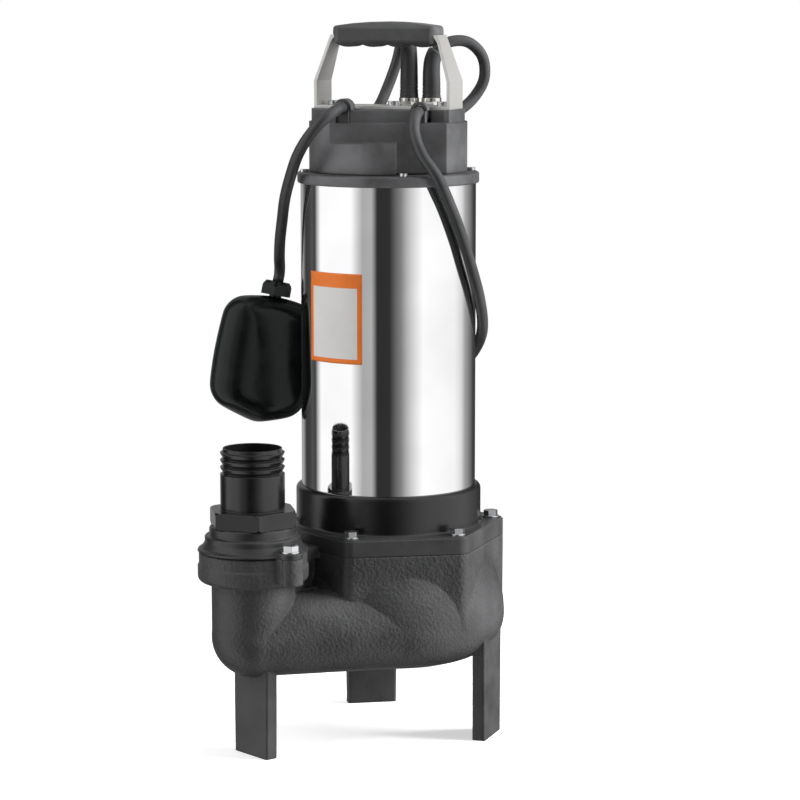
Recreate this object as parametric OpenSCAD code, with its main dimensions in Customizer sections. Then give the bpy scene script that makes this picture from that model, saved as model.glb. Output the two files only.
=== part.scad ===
// Submersible sump pump with a vortex casing on three legs, a polished motor shell,
// a carrying handle, a hose outlet and a tethered float switch.
// Z = 0 is the ground that the legs stand on, and the cover's flat front faces -Y. The origin is the
// middle of the footprint.

/* [Motor] */
// Outer diameter of the motor shell
shell_d = 139; // [136:0.5:142]
// Wall of the motor shell
shell_wall = 1.5; // [1:0.1:2]
// Length of the motor shell
shell_len = 251; // [235:1:280]
// Length of the stator and rotor stacks
stack_len = 100; // [80:1:110]
// Inner diameter of the stator
stator_bore_d = 76; // [70:1:80]
// Gap between rotor and stator
air_gap = 0.5; // [0.4:0.1:1]
// Number of stator slots
slots = 24; // [18:6:24]
// Diameter of the shaft in the lower bearing
shaft_d = 17; // [16:0.5:18]

/* [Casing] */
// Height of the casing's underside above the ground
leg_h = 62.5; // [52:0.5:75]
// Width of a leg
leg_w = 42; // [36:1:48]
// Thickness of a leg
leg_t = 11; // [9:1:13]
// Radius of the circle that the middle of the volute follows
volute_r = 60.5; // [59:0.5:61.5]
// Radius of the water passage
passage_r = 24.5; // [22:0.5:25.5]
// Wall of the casting
casing_wall = 8; // [7:0.5:9]
// Height of the parting plane above the middle of the volute
parting_rise = 60.5; // [57:0.5:66]
// Radius of the rounded casing corners
corner_r = 10; // [9:0.5:11]
// Thickness of the hexagonal plate of the oil chamber
plate_t = 13.4; // [11:0.2:16]
// Height of the collar above the hexagonal plate
collar_h = 31; // [26:1:36]
// Bore of the suction inlet
inlet_d = 60; // [50:1:64]

/* [Outlet] */
// Distance from the motor axis to the outlet axis
outlet_x = 137; // [134:1:145]
// Radius of the cast outlet flange
flange_r = 43; // [41:0.5:45]
// Height of the flange face above the middle of the volute
flange_rise = 67.5; // [62:0.5:74]
// Thickness of the cast outlet flange
flange_t = 24; // [20:1:26]
// Distance of each flange bolt from the outlet axis
flange_bolt_x = 47; // [46:0.5:49]
// Outer diameter of the hose barb
barb_d = 50; // [46:1:52]
// Bore of the hose barb
barb_bore_d = 43; // [38:1:44]
// Length of the hose barb
barb_len = 47.5; // [42:0.5:60]

/* [Cover] */
// Height of the top cover below its ledge
cover_h = 38.7; // [36:0.1:44]
// Height of the cable deck above the ledge
deck_h = 10; // [9.5:0.1:11]
// Distance of the flat front from the motor axis
front_d = 43; // [42:0.5:46]
// Height of the cover's round foot
foot_h = 23.7; // [18:0.1:28]

/* [Handle] */
// Span of the handle strap
strap_span = 113; // [106:1:114]
// Width of the handle strap at its foot
strap_w = 32; // [28:1:34]
// Thickness of the handle strap
strap_t = 2.5; // [2:0.1:3]
// Length of the grip
grip_len = 88; // [80:1:90]
// Depth of the grip
grip_depth = 28; // [26:1:32]
// Height of the middle of the grip above the deck
grip_rise = 56.5; // [54:0.5:64]
// Rise of the crowned top of the grip
grip_crown = 3; // [1:0.5:4]

/* [Float] */
// Width of the float
float_w = 84; // [80:1:92]
// Height of the float
float_h = 100; // [94:1:104]
// Thickness of the float
float_t = 44; // [41:1:48]
// Wall of the float
float_wall = 2.5; // [2:0.1:3]
// Lean of the float
float_lean = 11.5; // [6:0.5:14]

/* [Hidden] */
$fn = 64;
eps = 0.01;

// Clearances
fit = 0.3;           // between pieces that slip into each other
running = 0.05;      // of a turning surface
gasket_t = 0.6;

// Radii around the motor axis
shell_r = shell_d / 2;
shell_inner_r = shell_r - shell_wall;
collar_r = shell_r + 4.5;
ring_r = shell_r + 2.5;
cover_r = shell_r - 7;
shaft_r = shaft_d / 2;
bowl_r = volute_r + passage_r + casing_wall + 0.5;
pipe_r = passage_r + casing_wall;
corner_x = max(collar_r + corner_r, bowl_r - 11);
hex_reach = corner_x * cos(30) + corner_r;
chamber_r = hex_reach - casing_wall - 4;
mouth_r = 52;

// Directions about the motor axis, from the line through the outlet
face_angle = -40;    // the flat front of the cover
handle_angle = -60;  // the handle and the cable channels
turn = -face_angle;  // turns the flat front towards -Y

// The outlet's flange reaches furthest to -X and one of its bolt lugs to -Y
lug_r = 9.5;
outlet_reach_x = outlet_x * cos(turn) + flange_r;
outlet_reach_y = outlet_x * sin(turn) + flange_bolt_x * cos(turn) + lug_r;
motor_x = (outlet_reach_x - max(bowl_r, corner_x * cos(turn - 30) + corner_r)) / 2;
motor_y = (outlet_reach_y - max(bowl_r, corner_x * sin(turn + 30) + corner_r)) / 2;

// Heights
volute_z = leg_h + pipe_r + 0.5;
parting_z = volute_z + parting_rise;
plate_z = parting_z + gasket_t;
collar_z = plate_z + plate_t;
collar_top_z = collar_z + collar_h;
shell_z = collar_top_z - 10;
ring_z = shell_z + shell_len;
ring_t = 8.5;
cover_z = ring_z + ring_t + 0.8;
ledge_z = cover_z + cover_h;
deck_z = ledge_z + deck_h;
grip_z = deck_z + grip_rise;
stack_z = shell_z + 52;
lower_bearing_z = collar_top_z - 22;
upper_bearing_z = ring_z - 6;
inlet_z = leg_h - 4.5;

module on_motor() translate([motor_x, motor_y, 0]) rotate(turn) children();
module on_outlet() on_motor() translate([-outlet_x, 0, 0]) children();
module on_handle() on_motor() rotate(handle_angle) children();
module on_face() on_motor() rotate(face_angle) children();

// Points of an arc, for a polygon
function arc(c, r, a0, a1, n = 6) =
    [for (i = [0:n]) let (a = a0 + (a1 - a0) * i / n) c + r * [cos(a), sin(a)]];

module ring(r_out, r_in, h) difference() {
    cylinder(r = r_out, h = h);
    translate([0, 0, -1]) cylinder(r = r_in, h = h + 2);
}

// ---- Casing ----

module hexagon(reach, round_r) {
    corners = [for (i = [0:5]) for (s = [-30, 30]) let (a = 60 * i + 30)
        reach * [cos(a), sin(a)] + round_r * [cos(a + s), sin(a + s)]];
    union() {
        polygon(corners);
        for (i = [0:5]) rotate(60 * i + 30) translate([reach, 0]) circle(round_r);
    }
}

module at_corners() for (i = [0:5]) rotate(60 * i + 30) translate([corner_x, 0, 0]) children();

module bowl_profile() {
    translate([volute_r, volute_z]) circle(pipe_r + 0.5);
    translate([0, leg_h]) square([volute_r, 40]);
    intersection() {
        translate([0, volute_z]) circle(bowl_r);
        translate([0, volute_z]) square([bowl_r, parting_rise]);
    }
    translate([0, inlet_z]) square([inlet_d / 2 + 11, 10]);
}

module chamber_profile() {
    floor_z = volute_z - passage_r - 0.5;
    translate([volute_r, volute_z]) circle(passage_r + 0.5);
    translate([0, floor_z]) square([volute_r, 40]);
    translate([0, volute_z]) square([chamber_r, parting_rise - 15]);
    square([inlet_d / 2, volute_z]);
    square([mouth_r, parting_z + 1]);
}

// The straight run from the volute to the elbow, and the riser, as a solid of radius r.
// The elbow is a ball a little wider than both.
run_angle = 180 + acos(volute_r / outlet_x);
run_len = sqrt(outlet_x * outlet_x - volute_r * volute_r);

module outlet_run(r, top_z) {
    on_motor() rotate(run_angle) translate([volute_r, 3, volute_z]) rotate([90, 0, 0])
        cylinder(r = r, h = run_len + 3);
    on_outlet() translate([0, 0, volute_z]) {
        sphere(r + 0.3);
        cylinder(r = r, h = top_z - volute_z);
    }
}

flange_z = volute_z + flange_rise;

module cast_flange() {
    low = flange_z - flange_t;
    r = flange_r;
    on_outlet() {
        rotate_extrude() polygon(concat([[0, low - 5], [pipe_r - 1, low - 5]],
            arc([pipe_r + 3, low - 4], 4, 180, 90, 4),
            arc([r - 5, low + 5], 5, -90, 0), [[r, low + 13], [r - 1, low + 14]],
            [[r - 1, flange_z - 1.5], [r - 2.5, flange_z], [0, flange_z]]));
        for (s = [-1, 1]) translate([0, s * flange_bolt_x, low + 4]) {
            cylinder(r = lug_r, h = flange_t - 4);
            translate([-lug_r, -s * 5 - 7, 0]) cube([2 * lug_r, 14, flange_t - 4]);
        }
    }
}

module web() on_motor() {
    x0 = -outlet_x + pipe_r - 6;
    difference() {
        translate([x0, -15, flange_z - 40]) cube([outlet_x - hex_reach - pipe_r + 12, 30, 38]);
        translate([-hex_reach - 4, -8, flange_z - 22]) rotate([90, 0, 0]) cylinder(r = 11, h = 10);
        translate([-hex_reach - 15, -18, flange_z - 34]) cube([22, 10, 12]);
        translate([-hex_reach - fit, -16, parting_z]) cube([20, 32, 20]);
    }
}

// A leg, at its angle and at the radius of its outer face
module leg(angle, outer, top) on_motor() rotate(angle) translate([outer - leg_t, 0, 0]) hull() {
    for (x = [2, leg_t - 2]) for (s = [-1, 1]) {
        translate([x, s * (leg_w / 2 - 2.5), 0]) cylinder(r = 2, h = 1, $fn = 24);
        translate([x, s * (leg_w / 2 - 1.5), top]) cylinder(r = 2, h = 1, $fn = 24);
    }
}

module volute_casing() color("#26272a") difference() {
    union() {
        on_motor() rotate_extrude() bowl_profile();
        on_motor() translate([0, 0, volute_z]) linear_extrude(parting_rise)
            hexagon(corner_x, corner_r);
        outlet_run(pipe_r, flange_z - flange_t);
        cast_flange();
        web();
        leg(180, outlet_x + 4, volute_z - 14);
        leg(60, volute_r + pipe_r - 4, volute_z - 12);
        leg(-60, volute_r + pipe_r - 4, volute_z - 12);
    }
    on_motor() rotate_extrude() chamber_profile();
    outlet_run(passage_r, flange_z + 1);
    on_motor() at_corners() translate([0, 0, parting_z - casing_bolt_depth - 4])
        cylinder(r = casing_bolt_r + 0.1, h = 30);
    on_outlet() for (s = [-1, 1]) translate([0, s * flange_bolt_x, flange_z - flange_bolt_depth - 2])
        cylinder(r = flange_bolt_r + 0.1, h = 30);
}

module casing_gasket() color("#3a3128") on_motor() translate([0, 0, parting_z + eps]) difference() {
    linear_extrude(gasket_t - 2 * eps) hexagon(corner_x, corner_r - 0.5);
    translate([0, 0, -1]) cylinder(r = mouth_r, h = 3);
    at_corners() translate([0, 0, -1]) cylinder(r = 3.5, h = 3);
}

// ---- Oil chamber, seal and lower bearing ----

bearing_w = 12;
lower_bearing_r = 20;
upper_bearing_r = 17.5;
upper_shaft_r = 7.5;
seal_r = 14;
oil_floor_z = parting_z - 16;

module plate_plan(inset) difference() {
    hexagon(corner_x, corner_r - inset);
    circle(mouth_r - 1.5);
}

module oil_chamber() color("#1f2022") on_motor() difference() {
    union() {
        translate([0, 0, plate_z]) linear_extrude(plate_t - 1.2) plate_plan(0);
        translate([0, 0, plate_z]) linear_extrude(plate_t) plate_plan(1.2);
        rotate_extrude() polygon(concat(
            [[seal_r, oil_floor_z], [mouth_r - fit, oil_floor_z], [mouth_r - fit, plate_z + 1]],
            [[collar_r + 2.5, plate_z + 1], [collar_r + 2.5, collar_z]],
            arc([collar_r + 2.5, collar_z + 2.5], 2.5, -90, -180, 4),
            arc([collar_r - 4, collar_top_z - 4], 4, 0, 90),
            [[shell_r + 0.1, collar_top_z], [shell_r + 0.1, shell_z], [shell_inner_r - 6, shell_z]],
            [[lower_bearing_r + 8, collar_top_z - 9], [lower_bearing_r, collar_top_z - 9]],
            [[lower_bearing_r, lower_bearing_z], [seal_r - 1, lower_bearing_z]],
            [[seal_r - 1, lower_bearing_z - 5], [48, lower_bearing_z - 5], [48, oil_floor_z + 9]],
            [[seal_r, oil_floor_z + 9]]));
    }
    at_corners() translate([0, 0, plate_z - 1]) cylinder(r = 3.5, h = plate_t + 2);
}

// A hexagon-headed bolt on its washer, from the face that it holds down
module bolt(shank_r, depth, washer_r, head_r, head_h) {
    washer_t = 1.4;
    translate([0, 0, 0.02]) cylinder(r = washer_r, h = washer_t);
    translate([0, 0, washer_t]) cylinder(r = head_r, h = head_h, $fn = 6);
    translate([0, 0, -depth]) cylinder(r = shank_r, h = depth + 1);
}

casing_bolt_r = 2.7;
casing_bolt_depth = 20;

module casing_bolts() color("silver") on_motor() at_corners() translate([0, 0, collar_z])
    bolt(casing_bolt_r, plate_t + gasket_t + casing_bolt_depth, 6.5, 5.8, 4.2);

module seal_seat() color("#c9c4b8") on_motor() translate([0, 0, oil_floor_z + 0.5])
    ring(seal_r - 0.02, shaft_r + 1, 8);

module seal_ring() color("#33363b") on_motor() translate([0, 0, oil_floor_z + 8.55])
    ring(seal_r - 1.5, shaft_r + 0.02, 5);

// A coil spring as one swept tube
spring_z = oil_floor_z + 14.4;
spring_len = 6;

module seal_spring() color("silver") on_motor() tube([for (i = [0:48]) let (a = i * 30)
    [(shaft_r + 2.6) * cos(a), (shaft_r + 2.6) * sin(a), spring_z + spring_len * i / 48]], 0.6, 6);

module race(r_out, r_in, w, pitch_r, ball_r) rotate_extrude() difference() {
    translate([r_in, 0]) square([r_out - r_in, w]);
    translate([pitch_r, w / 2]) circle(ball_r + running);
}

module balls(pitch_r, ball_r, w, count) for (i = [0:count - 1])
    rotate(360 / count * i) translate([pitch_r, 0, w / 2]) sphere(ball_r);

lower_pitch_r = (lower_bearing_r + shaft_r) / 2;
upper_pitch_r = (upper_bearing_r + upper_shaft_r) / 2;

module lower_bearing_outer() color("silver") on_motor() translate([0, 0, lower_bearing_z + 0.02])
    race(lower_bearing_r - 0.02, lower_pitch_r + 2.2, bearing_w, lower_pitch_r, 3.2);
module lower_bearing_inner() color("silver") on_motor() translate([0, 0, lower_bearing_z + 0.02])
    race(lower_pitch_r - 2.2, shaft_r + 0.02, bearing_w, lower_pitch_r, 3.2);
module lower_bearing_balls() color("silver") on_motor() translate([0, 0, lower_bearing_z + 0.02])
    balls(lower_pitch_r, 3.2, bearing_w, 8);
module upper_bearing_outer() color("silver") on_motor() translate([0, 0, upper_bearing_z - 0.02])
    race(upper_bearing_r - 0.02, upper_pitch_r + 2, 11, upper_pitch_r, 2.9);
module upper_bearing_inner() color("silver") on_motor() translate([0, 0, upper_bearing_z - 0.02])
    race(upper_pitch_r - 2, upper_shaft_r + 0.02, 11, upper_pitch_r, 2.9);
module upper_bearing_balls() color("silver") on_motor() translate([0, 0, upper_bearing_z - 0.02])
    balls(upper_pitch_r, 2.9, 11, 8);

// ---- Motor ----

module motor_shell() color("#d9dadc") on_motor() translate([0, 0, shell_z + 0.02])
    ring(shell_r, shell_inner_r, shell_len - 0.04);

stator_bore_r = stator_bore_d / 2;
slot_depth = 14;
slot_w = 5;

module slot_plan(grow, from) for (i = [0:slots - 1]) rotate(360 / slots * i)
    translate([from, -slot_w / 2 - grow]) square([stator_bore_r + slot_depth + grow - from,
        slot_w + 2 * grow]);

module stator_core() color("#8d8f92") on_motor() translate([0, 0, stack_z])
    linear_extrude(stack_len) difference() {
        circle(shell_inner_r - 0.02);
        circle(stator_bore_r);
        slot_plan(0, stator_bore_r - 3);
    }

module end_turns(z) translate([0, 0, z]) rotate_extrude() translate([stator_bore_r + 4, 0])
    polygon(concat([[0, 0], [slot_depth + 4, 0]], arc([slot_depth, 18], 4, 0, 90, 4),
        arc([4, 18], 4, 90, 180, 4)));

module stator_windings() color("#9a4f22") on_motor() {
    translate([0, 0, stack_z - 1]) linear_extrude(stack_len + 2)
        slot_plan(-0.3, stator_bore_r + 1.5);
    end_turns(stack_z + stack_len + 0.5);
    mirror([0, 0, 1]) end_turns(-stack_z + 0.5);
}

module rotor_core() color("#77797d") on_motor() {
    translate([0, 0, stack_z]) ring(stator_bore_r - air_gap, shaft_r + 3, stack_len);
    for (z = [stack_z - 7, stack_z + stack_len]) translate([0, 0, z])
        ring(stator_bore_r - 3.5, stator_bore_r - 16, 7);
    for (i = [0:7]) rotate(45 * i) translate([stator_bore_r - 14, -1.2, stack_z + stack_len])
        cube([9, 2.4, 15]);
}

impeller_top_z = oil_floor_z - 3;
impeller_h = 34;

module motor_shaft() color("silver") on_motor() {
    z0 = impeller_top_z - impeller_h;
    translate([0, 0, z0 - 12]) cylinder(r = 5, h = 14);
    translate([0, 0, z0]) cylinder(r = shaft_r, h = stack_z - 12 - z0);
    translate([0, 0, spring_z + spring_len + 0.65]) cylinder(r = shaft_r + 4.5, h = 3);
    translate([0, 0, stack_z - 13]) cylinder(r = shaft_r + 2.98, h = stack_len + 26);
    translate([0, 0, stack_z + stack_len + 12])
        cylinder(r = upper_shaft_r, h = upper_bearing_z + 13 - stack_z - stack_len - 12);
}

// ---- Impeller ----

impeller_r = 46;
vanes = 6;

module vane_plan() intersection() {
    difference() {
        translate([20, -29.4]) circle(31.5);
        translate([20, -29.4]) circle(28);
    }
    translate([12, -18]) square([40, 22]);
    circle(impeller_r - 0.6);
}

module impeller() color("#4c4e52") on_motor() translate([0, 0, impeller_top_z]) difference() {
    union() {
        translate([0, 0, -5]) cylinder(r = impeller_r, h = 5);
        translate([0, 0, -impeller_h + 2]) rotate_extrude() polygon(concat([[0, 0], [12, 0]],
            [[13, 1], [15, impeller_h - 10]], arc([21, impeller_h - 12.5], 6, 180, 90, 4),
            [[0, impeller_h - 6.5]]));
        for (i = [0:vanes - 1]) rotate(360 / vanes * i) translate([0, 0, -26])
            linear_extrude(22) vane_plan();
    }
    translate([0, 0, -impeller_h]) cylinder(r = shaft_r + 0.02, h = impeller_h + 1);
}

module impeller_nut() color("silver") on_motor()
    translate([0, 0, impeller_top_z - impeller_h - 9]) difference() {
        union() {
            cylinder(r = 9.2, h = 7.8, $fn = 6);
            translate([0, 0, 7.8]) cylinder(r = 11, h = 3.15);
        }
        translate([0, 0, -1]) cylinder(r = 5.02, h = 10);
        translate([0, 0, 8.98]) cylinder(r = shaft_r + 0.02, h = 3);
    }

// ---- Upper bracket and cover ----

bracket_web_z = ring_z + 3;

module upper_bracket() color("#1b1c1e") on_motor() difference() {
    rotate_extrude() polygon(concat(
        [[upper_bearing_r, upper_bearing_z], [upper_bearing_r + 5, upper_bearing_z]],
        [[upper_bearing_r + 7, bracket_web_z], [shell_inner_r - 6, bracket_web_z]],
        [[shell_inner_r - 5, ring_z - 7], [shell_inner_r - fit, ring_z - 7]],
        [[shell_inner_r - fit, ring_z], [ring_r - 0.8, ring_z], [ring_r, ring_z + 0.8]],
        arc([ring_r - 2, ring_z + ring_t - 2], 2, 0, 90, 4),
        [[cover_r - 9, ring_z + ring_t], [cover_r - 10, ring_z + ring_t - 1]],
        [[upper_bearing_r - 6, ring_z + ring_t - 1], [upper_bearing_r - 6, upper_bearing_z + 11]],
        [[upper_bearing_r, upper_bearing_z + 11]]));
    for (a = [45:90:315]) rotate(a) translate([wire_hole_x, 0, ring_z - 10])
        cylinder(r = wire_hole_r, h = 30);
    at_bracket_screws() translate([0, 0, -bracket_screw_depth - 1])
        cylinder(r = bracket_screw_r + 0.1, h = 10);
}

wire_hole_x = 42;
wire_hole_r = 7;
bracket_screw_r = 1.8;
bracket_screw_depth = 5;

module at_bracket_screws() for (a = [-30:90:240]) rotate(a)
    translate([shell_r - 2.5, 0, ring_z + ring_t]) children();

module bracket_screws() color("silver") on_motor() at_bracket_screws() {
    difference() {
        cylinder(r = bracket_screw_r + 1.4, h = 2.4);
        translate([-4, -0.5, 1.4]) cube([8, 1, 2]);
    }
    translate([0, 0, -bracket_screw_depth]) cylinder(r = bracket_screw_r, h = bracket_screw_depth + 0.5);
}

module cover_gasket() color("#101010") on_motor() translate([0, 0, ring_z + ring_t])
    linear_extrude(0.8) difference() {
        foot_plan();
        cavity_plan();
    }

wide = 2 * cover_r;

module foot_plan() on_face_2d() difference() {
    circle(cover_r);
    translate([6, -wide - front_d]) square([wide, wide]);
    translate([-52, -wide - front_d + 3]) square([3.5, wide]);
}

module body_plan() on_face_2d() difference() {
    circle(cover_r);
    translate([-48.5, -wide - front_d]) square([2 * wide, wide]);
    translate([-52, -wide - front_d + 3]) square([3.5, wide]);
}

module deck_plan() on_face_2d() difference() {
    circle(cover_r - 2);
    translate([-60, -wide - front_d + 5]) square([107, wide]);
}

module on_face_2d() rotate(face_angle) children();

module cavity_plan() on_face_2d() difference() {
    circle(cover_r - 6);
    translate([-wide, -wide - front_d + 9]) square([2 * wide, wide]);
}

channel_r = 5.2;
float_channel_u = -20.5;
power_channel_u = 36;

module channels() rotate(handle_angle) translate([0, 0, ledge_z + 0.3]) {
    translate([float_channel_u - channel_r, -80, 0]) cube([2 * channel_r, 160, 20]);
    translate([power_channel_u - channel_r, -80, 0]) cube([2 * channel_r, 110, 20]);
    translate([power_channel_u - 2, strap_w / 2 + 1, 0]) cube([40, 70, 20]);
    translate([power_channel_u - 2, -strap_w / 2 - 81, 0]) cube([19, 80, 20]);
}

module top_cover() color("#1b1c1e") on_motor() difference() {
    union() {
        translate([0, 0, cover_z]) linear_extrude(foot_h) foot_plan();
        translate([0, 0, cover_z]) linear_extrude(cover_h) body_plan();
        translate([0, 0, cover_z]) linear_extrude(cover_h + deck_h) deck_plan();
    }
    translate([0, 0, cover_z - 1]) linear_extrude(cover_h - 5) cavity_plan();
    channels();
    rotate(handle_angle) for (u = strap_screw_u) translate([u, 0, deck_z - strap_screw_depth - 1.5])
        cylinder(r = strap_screw_r + 0.1, h = 20);
}

module capacitor() color("#d8d8d4") on_motor() rotate(face_angle)
    translate([-26, 12, ring_z + ring_t - 0.98]) {
        cylinder(r = 17, h = cover_h - 13);
        for (x = [-5, 4]) translate([x, -2, cover_h - 13]) cube([1, 4, 5]);
    }

module terminal_block() color("#e6e2d6") on_motor() rotate(face_angle)
    translate([4, -8, ring_z + ring_t - 0.98]) difference() {
        cube([40, 16, 14]);
        for (i = [0:3]) translate([5 + 10 * i, 8, 6]) cylinder(r = 3, h = 10);
    }

// ---- Outlet ----

adapter_z = flange_z + gasket_t;
adapter_h = 19;
adapter_t = 4;
hex_z = adapter_z + adapter_h;
barb_z = hex_z + 13;
barb_r = barb_d / 2;

module flange_plan(r) union() {
    circle(r);
    for (s = [-1, 1]) translate([0, s * flange_bolt_x]) circle(lug_r);
    translate([-lug_r, -flange_bolt_x]) square(2 * [lug_r, flange_bolt_x]);
}

module flange_gasket() color("#3a3128") on_outlet() translate([0, 0, flange_z]) difference() {
    linear_extrude(gasket_t) flange_plan(flange_r - 3);
    translate([0, 0, -1]) cylinder(r = passage_r, h = 3);
    for (s = [-1, 1]) translate([0, s * flange_bolt_x, -1]) cylinder(r = 4.5, h = 3);
}

module outlet_adapter() color("#1b1c1e") on_outlet() translate([0, 0, adapter_z]) difference() {
    union() {
        linear_extrude(adapter_t) flange_plan(flange_r - 4);
        rotate_extrude() polygon(concat([[0, 0], [flange_r, 0], [flange_r - 0.6, 1.4]],
            [[flange_r - 3, 2.6], [flange_r - 5.8, 7]], arc([flange_r - 7.6, 10], 2, 10, 90, 3),
            [[barb_r + 8.5, 12], [barb_r + 8.5, adapter_h - 1], [barb_r + 7.5, adapter_h]],
            [[0, adapter_h]]));
    }
    translate([0, 0, -1]) cylinder(r = passage_r, h = adapter_t + 1.5);
    translate([0, 0, adapter_t]) cylinder(r = barb_r + 2.5, h = adapter_h);
    for (s = [-1, 1]) translate([0, s * flange_bolt_x, -1]) cylinder(r = 4.5, h = adapter_h);
}

flange_bolt_r = 3.7;
flange_bolt_depth = 16;

module adapter_bolts() color("silver") on_outlet() for (s = [-1, 1])
    translate([0, s * flange_bolt_x, adapter_z + adapter_t])
        bolt(flange_bolt_r, adapter_t + gasket_t + flange_bolt_depth, 7.6, 6.6, 4.4);

// Three saw teeth grip the hose; their crests are no wider than the plain part
module hose_barb() color("#1b1c1e") on_outlet() {
    teeth_z = barb_z + barb_len - 20;
    tooth = 5.6;
    top = barb_z + barb_len;
    difference() {
        union() {
            rotate_extrude() polygon(concat(
                [[0, adapter_z + 7], [barb_r + 2.3, adapter_z + 7], [barb_r + 2.3, hex_z + 0.02]],
                [[barb_r + 2.3, barb_z], [barb_r, barb_z], [barb_r, teeth_z]],
                [for (i = [0:2]) each [[barb_r - 2.4, teeth_z + 0.8 + tooth * i],
                    [barb_r - 0.05, teeth_z + tooth * (i + 1) - 0.6],
                    [barb_r - 0.05, teeth_z + tooth * (i + 1)]]],
                [[barb_r - 1.6, teeth_z + 3 * tooth + 0.6], [barb_r - 2.2, top], [0, top]]));
            translate([0, 0, hex_z + 0.02]) intersection() {
                cylinder(r = barb_r + 11, h = 12.9, $fn = 6);
                translate([0, 0, -20]) cylinder(r1 = barb_r - 6, r2 = barb_r + 30, h = 46);
                cylinder(r1 = barb_r + 22.5, r2 = barb_r + 9, h = 12.9);
            }
        }
        translate([0, 0, adapter_z]) cylinder(r = barb_bore_d / 2, h = 200);
    }
}

// ---- Handle ----

strap_screw_u = [-46, 5, 46];
strap_half = strap_span / 2;
knee_z = deck_z + 22;

module strap_outline(inset) {
    h = strap_half - inset;
    top = grip_z + 1.2 - inset;
    polygon(concat([[-h, deck_z + inset], [h, deck_z + inset], [h, knee_z - inset * 0.15]],
        [[h - 9.5, grip_z - 5], [h - 12, top]], [[-h + 12, top], [-h + 9.5, grip_z - 5]],
        [[-h, knee_z - inset * 0.15]]));
}

module handle_strap() color("#c9cacb") on_handle() difference() {
    intersection() {
        rotate([90, 0, 0]) translate([0, 0, -strap_w / 2]) linear_extrude(strap_w) difference() {
            strap_outline(0);
            strap_outline(strap_t);
        }
        rotate([90, 0, 90]) translate([0, 0, -strap_half - 1]) linear_extrude(strap_span + 2)
            polygon([[-strap_w / 2, deck_z - 1], [strap_w / 2, deck_z - 1], [strap_w / 2, knee_z],
                [strap_w / 2 - 5, grip_z - 6], [strap_w / 2 - 5, grip_z + 5],
                [5 - strap_w / 2, grip_z + 5], [5 - strap_w / 2, grip_z - 6], [-strap_w / 2, knee_z]]);
    }
    for (u = strap_screw_u) translate([u, 0, deck_z - 1]) cylinder(r = strap_screw_r + 0.5, h = 5);
}

bumps = 4;

// A crowned top, and a row of finger rests below
module grip_outline() {
    half = grip_len / 2;
    end_r = 6.5;
    chord = half - end_r + end_r * sin(10);
    rise = grip_crown + 6.5 - end_r * cos(10);
    crown_r = (chord * chord + rise * rise) / (2 * rise);
    crown_angle = asin(chord / crown_r);
    union() {
        polygon(concat(arc([half - end_r, grip_z + 2], end_r, 0, 80),
            arc([0, grip_z + 8.5 + grip_crown - crown_r], crown_r, 90 - crown_angle, 90 + crown_angle),
            arc([end_r - half, grip_z + 2], end_r, 100, 180),
            [[-half, grip_z - 2.5], [-half + 3, grip_z - 5.5], [half - 3, grip_z - 5.5], [half, grip_z - 2.5]]));
        difference() {
            for (i = [0:bumps - 1]) translate([(i - (bumps - 1) / 2) * grip_len * 0.235, grip_z + 4.5])
                circle(13);
            translate([-half - 5, grip_z]) square([2 * half + 10, 30]);
        }
    }
}

module handle_grip() color("#202124") on_handle() difference() {
    intersection() {
        rotate([90, 0, 0]) translate([0, 0, -grip_depth / 2]) linear_extrude(grip_depth)
            grip_outline();
        rotate([90, 0, 90]) translate([0, 0, -grip_len]) linear_extrude(2 * grip_len)
            union() {
                for (s = [-1, 1]) for (z = [0, grip_crown])
                    translate([s * (grip_depth / 2 - 8), grip_z + z]) circle(8.5);
                translate([-grip_depth / 2 - 0.5, grip_z]) square([grip_depth + 1, grip_crown]);
                translate([8 - grip_depth / 2, grip_z - 8.5]) square([grip_depth - 16, 17 + grip_crown]);
            }
        translate([0, 0, grip_z - 20]) linear_extrude(40) union() {
            for (x = [-1, 1]) for (y = [-1, 1])
                translate([x * (grip_len / 2 - 10), y * (grip_depth / 2 - 9.5)]) circle(10);
            square([grip_len - 20, grip_depth + 1], center = true);
            square([grip_len, grip_depth - 19], center = true);
        }
    }
    rotate([90, 0, 0]) translate([0, 0, -strap_w / 2 + 4.9]) linear_extrude(strap_w - 9.8)
        difference() {
            strap_outline(-0.15);
            strap_outline(strap_t + 0.15);
        }
}

strap_screw_r = 2.3;
strap_screw_depth = 10.5;

module strap_screws() color("silver") on_handle() for (u = strap_screw_u)
    translate([u, 0, deck_z + strap_t + 0.02]) {
        difference() {
            cylinder(r = 2 * strap_screw_r + 0.4, h = 3.2);
            translate([0, 0, 1.4]) cylinder(r = 2.4, h = 3, $fn = 6);
        }
        translate([0, 0, -strap_t - strap_screw_depth])
            cylinder(r = strap_screw_r, h = strap_t + strap_screw_depth + 0.5);
    }

// ---- Glands, boots and clips on the deck ----

float_gland_uw = [7.5, 28];
power_gland_uw = [25, 32];
cord_r = 4.5;
boot_r = 7.4;

module at_gland(uw) on_handle() translate([uw[0], uw[1], deck_z]) children();

module gland() difference() {
    union() {
        cylinder(r = boot_r + 1.2, h = 4.5, $fn = 6);
        translate([0, 0, 4.5]) cylinder(r = boot_r + 0.6, h = 3);
    }
    translate([0, 0, 2]) cylinder(r = boot_r - 0.8, h = 10);
}

module cable_glands() color("silver") {
    at_gland(float_gland_uw) gland();
    at_gland(power_gland_uw) gland();
}

module boot(h) translate([0, 0, 2.02]) rotate_extrude() polygon([[0, 0], [boot_r - 0.9, 0],
    [boot_r - 0.9, 5.6], [boot_r, 5.6], [boot_r, 11], [boot_r - 1, h - 6], [boot_r - 2.2, h - 2.02],
    [0, h - 2.02]]);

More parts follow.
